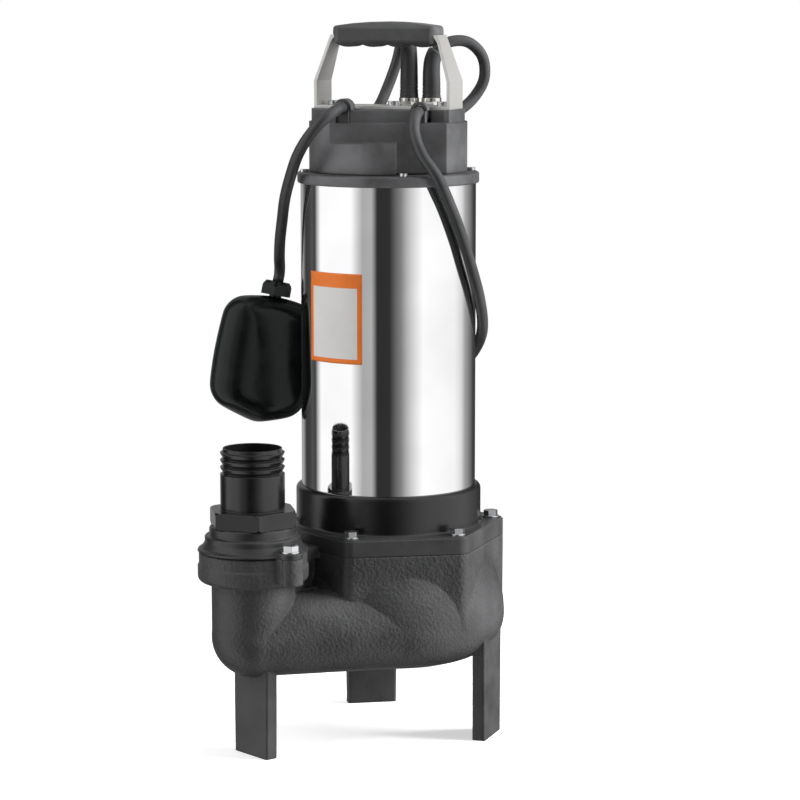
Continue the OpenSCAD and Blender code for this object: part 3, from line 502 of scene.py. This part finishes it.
# Where the float hangs, its turn, its lean and the top of its gland
FLOAT_AT = at_motor(-51.4, 95.3, DECK - 202)
FLOAT_TURN = OUTLET_TURN + math.radians(-15)
FLOAT_LEAN = math.radians(11.5)
FLOAT_PLACE = Matrix.Translation(FLOAT_AT) @ Matrix.Rotation(FLOAT_TURN, 4, "Z") @ Matrix.Rotation(FLOAT_LEAN, 4, "Y")
FLOAT_GLAND_TOP = 0.0615

# Points that the cords run through, in millimetres from the motor axis; the hanging part starts past the swing's centre
FLOAT_CABLE = from_deck([
    (28, 7.5, 39), (28.2, 7.9, 43), (31, 13, 53), (36.5, 23.5, 59.5), (43, 34, 53), (42.5, 40, 35), (33, 40, 15),
    (20, 35, 0.5), (6.6, 27.5, -5), (-10.2, 17.8, -5), (-26.5, 8.5, -4.8),
])
FLOAT_CABLE_DROP = from_deck([
    (-65, -14, 0), (-75, -10, -7.5), (-80.5, -0.5, -19.5), (-80.5, 13, -34), (-76, 28, -51), (-69, 44.5, -70),
    (-59.5, 60.5, -89), (-51, 74.5, -107), (-43.5, 85, -122),
])
POWER_CORD = from_deck([
    (40.2, -5.7, 30), (40.4, -5.8, 34), (43, -7, 43.5), (51.5, -12, 51), (67, -18, 51.5), (79.5, -22, 40),
    (83, -20.5, 22), (75, -16.5, 6.5), (59.5, -15, -3.5), (41.5, -20, -5), (18.5, -31.2, -5), (5, -38.7, -4.8),
    (-2, -42.7, -0.5), (-9, -46.7, -0.5), (-15.5, -50.8, -3.5), (-20.5, -55.5, -16), (-21.5, -65.5, -32.5),
    (-15.5, -77, -50), (-1, -76.6, -74), (12.8, -74.4, -99), (27.2, -70.3, -126), (44.1, -60.8, -153),
    (59.2, -46, -177), (71.8, -21.8, -197), (75.2, 2.9, -216), (75, 21.2, -239), (76, 33.5, -265), (78.5, 44, -291),
]) + [
    (83, 55, 181), (90, 64, 154), (96, 70, 126), (101, 75, 98), (108, 80, 71), (118, 87, 45), (131, 98, 24),
    (149, 118, 12), (160, 130.5, 6.8), (167.5, 138.2, 5.0),
]
# The cords' radius and the length of the steps that they are made in, in millimetres
CORD_R = 4.5
CORD_STEP = 3.0
# The coil's middle, the way that it is entered, and how its turns lie
COIL_AT = (145, 215)
COIL_TURN = math.radians(50)
COIL_PITCH = 9.6
COIL_MID = 49
COIL_TURNS = 15.5
COIL_STEPS = 36
LAYER_TURNS = 4
# Straight runs before the coil, and the tail's quarter turn up to the plug
COIL_APPROACH = 26
COIL_LEAD = 9
TAIL_LEAD = 4
TAIL_R = 36
TAIL_STEPS = 6
PLUG_Z = 51.1
# Height of a boot's foot above the deck, its slack about the cord, and how finely it is made
BOOT_FOOT = 2.1
BOOT_SLACK = 0.0003
BOOT_STEP = 0.0008
BOOT_SIDES = 28
# Shares of a boot's length where its grooves are
BOOT_GROOVES = (0.2, 0.26, 0.32)


def coil_point(t):
    """A point of the coil after t turns, in millimetres from the motor axis."""
    m = t % (2 * LAYER_TURNS)
    turns_in = min(m, 2 * LAYER_TURNS - m)
    r = COIL_MID + COIL_PITCH * (LAYER_TURNS / 2 - turns_in)
    climbed = sum(min(1, max(0, 2 * (t - k * LAYER_TURNS) + 0.5)) for k in (1, 2, 3))
    a = math.tau * t + COIL_TURN - math.pi / 2
    return Vector((COIL_AT[0] + r * math.cos(a), COIL_AT[1] + r * math.sin(a), CORD_R + COIL_PITCH * climbed))


def float_cable_path(least):
    """The float cable's whole line: over its hump, through its collar and down to the float."""
    fixed = [at_motor(*p) for p in FLOAT_CABLE]
    # Level through the collar, up to the swing's centre at its mouth
    fixed += [SWING_AT + 0.015 * SWING_DIRECTION - Vector((0, 0, 0.0015)), SWING_AT + 0.009 * SWING_DIRECTION, SWING_AT]
    drop = [SWING_AT - 0.008 * SWING_DIRECTION] + [at_motor(*p) for p in FLOAT_CABLE_DROP]
    drop += [FLOAT_PLACE @ Vector((0, 0, FLOAT_GLAND_TOP + z)) for z in (0.008, 0.0)]
    return ease_bends(smooth_path(fixed + drop, MM * CORD_STEP), least)


def power_cord_path(least):
    """The power cord's whole line: over the pump, down to the floor, round its coil and to its plug."""
    way_in = Vector((math.cos(COIL_TURN), math.sin(COIL_TURN), 0))
    aside = Vector((math.sin(COIL_TURN), -math.cos(COIL_TURN), 0))
    coil = [coil_point(i / COIL_STEPS) for i in range(int(COIL_TURNS * COIL_STEPS) + 1)]
    start = coil[0] - COIL_LEAD * way_in
    free = [Vector(p) for p in POWER_CORD] + [start - COIL_APPROACH * way_in, start, coil[0]]
    tail_start = coil[-1] - COIL_LEAD * way_in
    tail = []
    for i in range(TAIL_STEPS + 1):
        a = math.radians(90 * i / TAIL_STEPS)
        back = TAIL_LEAD + TAIL_R * math.sin(a)
        rise = (PLUG_Z - tail_start.z) * (1 - math.cos(2 * a)) / 2
        tail.append(tail_start - back * way_in + TAIL_R * (1 - math.cos(a)) * aside + Vector((0, 0, rise)))
    tail_end = tail[-1] + COIL_LEAD * aside
    led_in = ease_bends(smooth_path(free, CORD_STEP), least / MM)
    led_out = smooth_path([coil[-1], tail_start, *tail, tail_end], CORD_STEP)
    return [at_motor(*p) for p in led_in + coil[1:] + led_out[1:]]


def boot_path(cord, reach):
    """The middle line of a boot: up from the deck and along the start of its cord."""
    foot = Vector((cord[0].x, cord[0].y, MM * (DECK + BOOT_FOOT)))
    line = smooth_path([foot, foot.lerp(cord[0], 0.5)] + cord[:12:2], BOOT_STEP)
    path, done = [line[0]], 0.0
    for a, b in zip(line, line[1:]):
        done += (b - a).length
        if done > reach:
            break
        path.append(b)
    return path


def boot_radius(along):
    """A boot's outer radius at a share of its length: a narrow foot, a taper with three grooves and a round end."""
    groove = 0.25 if any(abs(along - place) < 0.012 for place in BOOT_GROOVES) else 0.0
    rounding = 1.3 * (1 - min(1, (1 - along) / 0.04)) ** 2
    return MM * ((6.5 if along < 0.1 else 7.5 - 1.1 * along) - groove - rounding)


# The camera's lens in millimetres, its aim to the right of the motor axis, and its fall towards it
LENS = 129.5
AIM_ASIDE = 0.0093
AIM_FALL = 0.1432


class PUMP_OT_camera(bpy.types.Operator):
    """Sets the camera that looks at the pump's front"""

    bl_idname = "pump.camera"
    bl_label = "Camera"

    def execute(self, context):
        sizes = context.scene.pump_sizes
        data = bpy.data.cameras.new("Camera")
        data.sensor_width = 36.0
        data.lens = LENS
        data.clip_end = 50.0
        camera = bpy.data.objects.new("Camera", data)
        context.scene.collection.objects.link(camera)
        place = MOTOR + Vector((0, -sizes.camera_distance, sizes.camera_height))
        aim = MOTOR + Vector((AIM_ASIDE, 0, sizes.camera_height - AIM_FALL * sizes.camera_distance))
        camera.location = place
        camera.rotation_euler = (aim - place).to_track_quat("-Z", "Y").to_euler()
        context.scene.camera = camera
        return {"FINISHED"}


class PUMP_OT_float_cable(bpy.types.Operator):
    """Lays the float's cable from its boot to the float"""

    bl_idname = "pump.float_cable"
    bl_label = "Float cable"

    def execute(self, context):
        sizes = context.scene.pump_sizes
        path = float_cable_path(sizes.least_bend)
        verts, faces = tube_shell(path, sizes.cord_diameter / 2, sizes.cord_sides)
        cable = new_mesh(
            "float_cable", verts, faces, finish="Cord rubber",
            replaces=("float_cable_fixed", "float_cable_drop"),
        )
        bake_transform(cable)
        return {"FINISHED"}


class PUMP_OT_power_cord(bpy.types.Operator):
    """Lays the power cord from its boot over the cover and down to its coil and plug"""

    bl_idname = "pump.power_cord"
    bl_label = "Power cord"

    def execute(self, context):
        sizes = context.scene.pump_sizes
        path = power_cord_path(sizes.least_bend)
        verts, faces = tube_shell(path, sizes.cord_diameter / 2, sizes.cord_sides)
        cord = new_mesh(
            "power_cord_whole", verts, faces, finish="Cord rubber", body="pump",
            replaces=("power_cord", "cord_coil", "cord_tail"),
        )
        return {"FINISHED"}


class PUMP_OT_boots(bpy.types.Operator):
    """Moulds the rubber boots that the cords leave the glands by"""

    bl_idname = "pump.boots"
    bl_label = "Boots"

    def execute(self, context):
        sizes = context.scene.pump_sizes
        bore = sizes.cord_diameter / 2 + BOOT_SLACK
        for cord, route, reach in (("float_cable", float_cable_path, 0.048), ("power_cord", power_cord_path, 0.044)):
            path = boot_path(route(sizes.least_bend), reach)
            outer = [boot_radius(i / (len(path) - 1)) for i in range(len(path))]
            verts, faces = sleeve_shell(path, outer, bore, BOOT_SIDES)
            new_mesh(
                f"{cord}_sleeve", verts, faces, finish="Boot rubber", body="pump",
                replaces=(f"{cord}_boot",),
            )
        return {"FINISHED"}


# ---------------------------------------------------------------- finishes


class PUMP_OT_finishes(bpy.types.Operator):
    """Makes the materials that several pieces share"""

    bl_idname = "pump.finishes"
    bl_label = "Finishes"

    def execute(self, context):
        c = context.scene.pump_colours
        paint, rubber = tuple(c.paint), tuple(c.rubber)
        painted_casting(
            "Sand-cast iron", paint, grain=0.0024, share=0.65, depth=0.0006, rough=0.44, edge=0.0022, wear=0.35,
            smooth_below=0.062,
        )
        painted_casting(
            "Fine cast iron", tinted(0.86, paint), grain=0.0014, share=0.3, depth=0.0001, rough=0.40, edge=0.0012,
            wear=0.4, gloss_above=0.1705,
        )
        painted_casting(
            "Glossy casting", tinted(0.55, paint), grain=0.0014, share=0.3, depth=0.00008, rough=0.32, edge=0.0014,
            wear=0.4,
        )
        painted_casting(
            "Fitting paint", tinted(0.15, paint), grain=0.0014, share=0.2, depth=0.00004, rough=0.2, edge=0.0008,
            wear=0.2,
        )
        painted_casting(
            "Cover casting", tinted(4.6, paint), grain=0.0011, share=0.3, depth=0.00008, rough=0.56, edge=0.0016,
            wear=0.1, metallic=0.85,
        )
        # Colour, roughness, the polishing lines' size, stretch and contrast, then their depth and the share of metal
        for name, *look in (
            ("Polished steel", tuple(c.steel), 0.055, 0.003, (1.0, 1.0, 0.02), 0.02, 0.000004),
            ("Strap steel", tuple(c.strap), 0.40, 0.002, (6.0, 6.0, 1.0), 0.08, 0.00002, 0.8),
            ("Zinc plate", (0.72, 0.73, 0.75), 0.24, 0.002, (1.0, 1.0, 1.0), 0.08),
            ("Nickel plate", (0.78, 0.76, 0.72), 0.16, 0.003, (1.0, 1.0, 8.0), 0.05),
            ("Machined iron", (0.42, 0.42, 0.43), 0.38, 0.002, (1.0, 1.0, 12.0), 0.1),
            ("Electrical steel", (0.36, 0.37, 0.39), 0.42, 0.0006, (0.2, 0.2, 30.0), 0.12, 0.0001),
            ("Enamelled copper", (0.78, 0.33, 0.13), 0.3, 0.0011, (1.0, 1.0, 1.0), 0.1, 0.0003),
            ("Plain aluminium", (0.86, 0.86, 0.87), 0.34, 0.002, (1.0, 1.0, 20.0), 0.1),
            ("Pin brass", (0.86, 0.72, 0.38), 0.2, 0.002, (8.0, 8.0, 1.0), 0.06),
        ):
            metal(name, *look)
        # Colour, roughness, the grain's size and depth, then the gloss
        for name, *look in (
            ("Cord rubber", rubber, 0.38, 0.0011, 0.00005),
            ("Boot rubber", tinted(0.9, rubber), 0.45, 0.0013, 0.00006),
            ("Grip plastic", (0.054, 0.0545, 0.056), 0.40, 0.0009, 0.00006),
            ("Float plastic", tuple(c.float_plastic), 0.2, 0.0025, 0.00002, 0.22),
            ("Gasket sheet", (0.02, 0.018, 0.016), 0.7, 0.0012, 0.0001),
            ("Pale plastic", (0.72, 0.69, 0.62), 0.42, 0.0012, 0.00004),
            ("Seal carbon", (0.035, 0.035, 0.038), 0.3, 0.001, 0.00002),
            ("Seal ceramic", (0.74, 0.70, 0.62), 0.2, 0.001, 0.00002),
        ):
            moulded(name, *look)
        return {"FINISHED"}


class PUMP_OT_castings(bpy.types.Operator):
    """Paints the castings and finishes their gaskets"""

    bl_idname = "pump.castings"
    bl_label = "Castings"

    def execute(self, context):
        paint_nodes("Sand-cast iron", "volute_casing")
        paint_nodes("Fine cast iron", "oil_chamber")
        paint_nodes("Glossy casting", "outlet_adapter")
        paint_nodes("Fitting paint", "hose_barb")
        paint_nodes("Cover casting", "top_cover", "upper_bracket")
        paint_nodes("Gasket sheet", "casing_gasket", "flange_gasket", "cover_gasket")
        return {"FINISHED"}


class PUMP_OT_steelwork(bpy.types.Operator):
    """Finishes the shell, the handle's strap, the screws, the glands and the plug's pins"""

    bl_idname = "pump.steelwork"
    bl_label = "Steelwork"

    def execute(self, context):
        paint_nodes("Polished steel", "motor_shell")
        paint_nodes("Strap steel", "handle_strap")
        paint_nodes("Zinc plate", "casing_bolts", "adapter_bolts", "bracket_screws", "strap_screws", "impeller_nut")
        paint_nodes("Nickel plate", "cable_glands")
        paint_nodes("Pin brass", "plug_pins")
        return {"FINISHED"}


class PUMP_OT_rubber_and_plastic(bpy.types.Operator):
    """Finishes the grip, the cords' collars, the plug and the float's gland nut"""

    bl_idname = "pump.rubber_and_plastic"
    bl_label = "Rubber and plastic"

    def execute(self, context):
        paint_nodes("Grip plastic", "handle_grip", "cable_clips")
        paint_nodes("Boot rubber", "power_plug")
        paint_nodes("Float plastic", "float_gland_nut")
        return {"FINISHED"}


class PUMP_OT_inner_works(bpy.types.Operator):
    """Finishes the motor, the bearings, the seal, the impeller and the float's inside"""

    bl_idname = "pump.inner_works"
    bl_label = "Inner works"

    def execute(self, context):
        paint_nodes("Electrical steel", "stator_core", "rotor_core")
        paint_nodes("Enamelled copper", "stator_windings")
        paint_nodes("Machined iron", "impeller")
        bearings = [f"{place}_bearing_{piece}" for place in ("lower", "upper") for piece in ("outer", "inner", "balls")]
        paint_nodes("Zinc plate", "motor_shaft", "seal_spring", "float_ball", *bearings)
        paint_nodes("Plain aluminium", "capacitor")
        paint_nodes("Pale plastic", "terminal_block", "float_ball_cage", "float_microswitch")
        paint_nodes("Seal ceramic", "seal_seat")
        paint_nodes("Seal carbon", "seal_ring")
        return {"FINISHED"}


# ---------------------------------------------------------------- float

# Middles and radii of the balls that the float's skin is drawn over
FLOAT_BALLS = [
    (Vector((x, 0, z)), r)
    for x, z, r in (
        (-0.0208, 0.0262, 0.0206), (0.0172, 0.0280, 0.0198), (-0.0010, 0.0295, 0.0202), (-0.0208, -0.0020, 0.0224),
        (0.0192, -0.0010, 0.0222), (-0.0192, -0.0250, 0.0226), (0.0190, -0.0270, 0.0222), (0.0020, -0.0318, 0.0222),
        (0.0, -0.001, 0.0242),
    )
]
# How widely the skin rounds from one ball to the next, the shells' wall, and the points round each ring
SKIN_EASE = 0.0014
FLOAT_WALL = 0.0024
FLOAT_SIDES = 120
# Angle from the seam, depth below the skin and least distance from the seam, of the rings from the edge to the pole
OUTER_RINGS = [(0, FLOAT_WALL, 0.0002), (0, 0.0009, 0.0002), (0, 0.0003, 0.00035), (1.5, 0.0, 0.0008)]
OUTER_RINGS += [(a, 0.0, 0.0008) for a in (3, 5, 8, 12, 17, 23, 30, 38, 46, 54, 62, 69, 75, 80, 84, 87)]
INNER_RINGS = [(a, FLOAT_WALL, 0.0) for a in (12, 30, 50, 70)]


def float_skin(normal, depth=0.0):
    """The point of the float's softly swelling skin that faces along a normal, a little below its surface."""
    reach = [ball.dot(normal) + r for ball, r in FLOAT_BALLS]
    furthest = max(reach)
    weights = [math.exp((h - furthest) / SKIN_EASE) for h in reach]
    point = Vector()
    for (ball, r), weight in zip(FLOAT_BALLS, weights):
        point += weight * (ball + (r - depth) * normal)
    return point / sum(weights)


def float_ring(side, degrees, depth, off):
    """A ring of one float shell, by its angle from the seam, depth below the skin and least distance from the seam."""
    b = math.radians(degrees)
    ring = []
    for k in range(FLOAT_SIDES):
        a = math.tau * k / FLOAT_SIDES
        point = float_skin(Vector((math.cos(b) * math.cos(a), side * math.sin(b), math.cos(b) * math.sin(a))), depth)
        point.y = side * max(off, abs(point.y))
        ring.append(FLOAT_PLACE @ point)
    return ring


class PUMP_OT_float(bpy.types.Operator):
    """Moulds the float's two shells, which meet in a seam"""

    bl_idname = "pump.float"
    bl_label = "Float shells"

    def execute(self, context):
        for name, side in (("float_front", -1), ("float_rear", 1)):
            verts, faces = [], []
            for rings, depth in ((OUTER_RINGS, 0.0), (INNER_RINGS, FLOAT_WALL)):
                rows = [0] if verts else []
                for ring in rings:
                    rows.append(len(verts))
                    verts += float_ring(side, *ring)
                faces += ring_faces(rows, FLOAT_SIDES)
                last, pole = rows[-1], len(verts)
                verts.append(FLOAT_PLACE @ float_skin(Vector((0, side, 0)), depth))
                faces += [(last + k, last + (k + 1) % FLOAT_SIDES, pole) for k in range(FLOAT_SIDES)]
            new_mesh(
                name, verts, faces, finish="Float plastic", body="float",
                replaces=(f"{name}_shell",),
            )
        return {"FINISHED"}


# ---------------------------------------------------------------- label

# The label's middle: its turn round the shell, and its depth below the deck in millimetres
LABEL_TURN = math.radians(-128.6)
LABEL_DROP = 160.3
LABEL_LIFT = 0.00025
LABEL_THICKNESS = 0.0001
# Cells across and up, then cells of border at the sides and the foot, and at the head
LABEL_CELLS = (40, 56)
LABEL_BORDER, LABEL_HEAD = 3, 9


class PUMP_OT_label(bpy.types.Operator):
    """Puts a blank bordered label on the motor shell"""

    bl_idname = "pump.label"
    bl_label = "Blank label"

    def execute(self, context):
        sizes = context.scene.pump_sizes
        radius = SHELL_R + LABEL_LIFT
        across, up = LABEL_CELLS
        half = sizes.label_width / 2 / radius
        verts, faces = [], []
        for j in range(up + 1):
            z = MM * (DECK - LABEL_DROP) + (j / up - 0.5) * sizes.label_height
            for i in range(across + 1):
                a = LABEL_TURN + half * (2 * i / across - 1)
                verts.append(MOTOR + Vector((radius * math.cos(a), radius * math.sin(a), z)))
        for j in range(up):
            for i in range(across):
                a = j * (across + 1) + i
                faces.append((a, a + 1, a + across + 2, a + across + 1))
        label = new_mesh("blank_label", verts, faces, body="pump")
        sheet = label.modifiers.new("Thickness", "SOLIDIFY")
        sheet.thickness = LABEL_THICKNESS
        sheet.offset = 0
        deep = tuple(context.scene.pump_colours.label_edge)
        label.data.materials.append(printed("Label border", 0.38, deep, tuple(min(1, 1.12 * v) for v in deep)))
        label.data.materials.append(printed("Label panel", 0.42, (0.78, 0.77, 0.75), (0.84, 0.83, 0.81)))
        for polygon in label.data.polygons:
            j, i = divmod(polygon.index, across)
            inside = LABEL_BORDER <= i < across - LABEL_BORDER and LABEL_BORDER <= j < up - LABEL_HEAD
            polygon.material_index = 1 if inside else 0
        return {"FINISHED"}


# ---------------------------------------------------------------- stage

FLOOR_HALF = 9.0
FLOOR_SINK = 0.0002
# Distances from the motor axis between which the shaded ground turns into plain white paper
PAPER_FROM, PAPER_TO = 0.35, 0.75
# Name, place from the foot of the motor axis, width, height and power of each lamp, and the height they are aimed at
SOFTBOXES = (
    ("Left softbox", (-2.0, -0.5, 1.2), 1.2, 1.8, 28),
    ("Right softbox", (2.1, -0.1, 1.2), 1.2, 1.8, 168),
    ("Top softbox", (0.0, 0.2, 2.6), 2.4, 2.4, 26),
)
LAMP_AIM = 0.26
# The studio in gloss: degrees round the pump, 0 towards the camera and positive to its right, and brightness
STUDIO_BANDS = (
    (-180, 0.4), (-155, 0.4), (-140, 0.05), (-128, 0.06), (-120, 0.1), (-112, 0.06), (-100, 1.2), (-50, 1.2),
    (-42, 0.8), (-34, 0.48), (-22, 0.52), (-15, 0.033), (2, 0.035), (10, 0.16), (17, 0.28), (26, 0.6), (34, 0.85),
    (46, 1.2), (98, 1.1), (112, 0.85), (122, 0.42), (138, 0.2), (150, 0.06), (170, 0.04), (180, 0.4),
)
MATT_LIGHT = 0.28


def softbox(scene, name, place, width, height, power):
    """A lamp aimed at the pump, unseen by the camera and in gloss."""
    data = bpy.data.lights.new(name, "AREA")
    data.shape = "RECTANGLE"
    data.size, data.size_y, data.energy = width, height, power
    lamp = bpy.data.objects.new(name, data)
    scene.collection.objects.link(lamp)
    lamp.location = MOTOR + Vector(place)
    aim = MOTOR + Vector((0, 0, LAMP_AIM)) - lamp.location
    lamp.rotation_euler = aim.to_track_quat("-Z", "Y").to_euler()
    lamp.visible_camera = False
    lamp.visible_glossy = False


def floor_finish():
    """White ground that takes a shadow near the pump and is plain paper further off."""
    material, tree, principled = shader("Floor", Roughness=0.6, Base_Color=(0.8, 0.8, 0.8, 1), Specular_IOR_Level=0.1)
    glow = add(tree, "ShaderNodeEmission", Color=(1, 1, 1, 1), Strength=0.5)
    lit = add(tree, "ShaderNodeAddShader")
    tree.links.new(principled.outputs[0], lit.inputs[0])
    tree.links.new(glow.outputs[0], lit.inputs[1])
    away = add(tree, "ShaderNodeVectorMath", operation="DISTANCE")
    away.inputs[1].default_value = MOTOR
    tree.links.new(add(tree, "ShaderNodeTexCoord").outputs["Object"], away.inputs[0])
    paper = add(tree, "ShaderNodeEmission", Color=(1, 1, 1, 1), Strength=1.0)
    far = ramp(tree, away.outputs["Value"], PAPER_FROM, PAPER_TO, 0.0, 1.0)
    ground = mix_shaders(tree, far, lit.outputs[0], paper.outputs[0])
    # A greyer ground to all but the camera, so that it lights the pump little from below
    grey = add(tree, "ShaderNodeBsdfDiffuse", Color=(0.2, 0.2, 0.2, 1))
    camera_ray = add(tree, "ShaderNodeLightPath").outputs["Is Camera Ray"]
    surface = mix_shaders(tree, camera_ray, grey.outputs[0], ground)
    tree.links.new(surface, tree.nodes["Material Output"].inputs["Surface"])
    return material


def studio_world(scene):
    """A pale studio: white to the camera, plain light on matt things, and softboxes between dark screens in gloss."""
    world = bpy.data.worlds.new("Studio")
    scene.world = world
    world.use_nodes = True
    tree = world.node_tree
    tree.nodes.clear()
    split = add(tree, "ShaderNodeSeparateXYZ")
    tree.links.new(add(tree, "ShaderNodeTexCoord").outputs["Generated"], split.inputs[0])
    angle = math_node(tree, "ARCTAN2", split.outputs[0], math_node(tree, "MULTIPLY", split.outputs[1], -1.0))
    bands = add(tree, "ShaderNodeValToRGB")
    tree.links.new(ramp(tree, angle, -math.pi, math.pi, 0.0, 1.0), bands.inputs[0])
    bands.color_ramp.interpolation = "LINEAR"
    elements = bands.color_ramp.elements
    while len(elements) > 1:
        elements.remove(elements[0])
    for i, (degrees, value) in enumerate(STUDIO_BANDS):
        place = (degrees + 180) / 360
        element = elements[0] if i == 0 else elements.new(place)
        element.position = place
        element.color = (value, value, value, 1)
    gloss = add(tree, "ShaderNodeBackground", Strength=1.0)
    tree.links.new(bands.outputs["Color"], gloss.inputs["Color"])
    plain = add(tree, "ShaderNodeBackground", Color=(1, 1, 1, 1), Strength=MATT_LIGHT)
    white = add(tree, "ShaderNodeBackground", Color=(1, 1, 1, 1), Strength=1.0)
    rays = add(tree, "ShaderNodeLightPath")
    lit = mix_shaders(tree, rays.outputs["Is Glossy Ray"], plain.outputs[0], gloss.outputs[0])
    seen = mix_shaders(tree, rays.outputs["Is Camera Ray"], lit, white.outputs[0])
    tree.links.new(seen, add(tree, "ShaderNodeOutputWorld").inputs["Surface"])


class PUMP_OT_stage(bpy.types.Operator):
    """Sets the floor, the lamps and the studio around the pump"""

    bl_idname = "pump.stage"
    bl_label = "Stage"

    def execute(self, context):
        corners = ((-1, -1), (1, -1), (1, 1), (-1, 1))
        verts = [MOTOR + Vector((FLOOR_HALF * x, FLOOR_HALF * y, -FLOOR_SINK)) for x, y in corners]
        floor = new_mesh("floor", verts, [(0, 1, 2, 3)], smooth=False)
        floor.visible_glossy = False
        floor.data.materials.append(floor_finish())
        for lamp in SOFTBOXES:
            softbox(context.scene, *lamp)
        studio_world(context.scene)
        context.scene.view_settings.view_transform = "Standard"
        return {"FINISHED"}


# ---------------------------------------------------------------- add-on

STEPS = (
    PUMP_OT_camera,
    PUMP_OT_finishes,
    PUMP_OT_float_cable,
    PUMP_OT_power_cord,
    PUMP_OT_boots,
    PUMP_OT_castings,
    PUMP_OT_steelwork,
    PUMP_OT_rubber_and_plastic,
    PUMP_OT_inner_works,
    PUMP_OT_float,
    PUMP_OT_label,
    PUMP_OT_stage,
)


class PUMP_PT_panel(bpy.types.Panel):
    """Lists the sizes, the colours and the steps"""

    bl_idname = "PUMP_PT_panel"
    bl_label = "Sump Pump"
    bl_space_type = "VIEW_3D"
    bl_region_type = "UI"
    bl_category = "Sump Pump"

    def draw(self, context):
        for settings in (context.scene.pump_sizes, context.scene.pump_colours):
            for key in settings.__annotations__:
                self.layout.prop(settings, key)
        for step in STEPS:
            self.layout.operator(step.bl_idname)


CLASSES = (PumpSizes, PumpColours, *STEPS, PUMP_PT_panel)


def register():
    """Registers the settings, the steps and the panel."""
    for cls in CLASSES:
        bpy.utils.register_class(cls)
    bpy.types.Scene.pump_sizes = PointerProperty(type=PumpSizes)
    bpy.types.Scene.pump_colours = PointerProperty(type=PumpColours)


def unregister():
    """Takes the settings, the steps and the panel away again."""
    del bpy.types.Scene.pump_colours
    del bpy.types.Scene.pump_sizes
    for cls in reversed(CLASSES):
        bpy.utils.unregister_class(cls)


def main():
    """Builds the whole scene."""
    register()
    for step in STEPS:
        group, name = step.bl_idname.split(".")
        getattr(getattr(bpy.ops, group), name)()


if __name__ == "__main__":
    main()
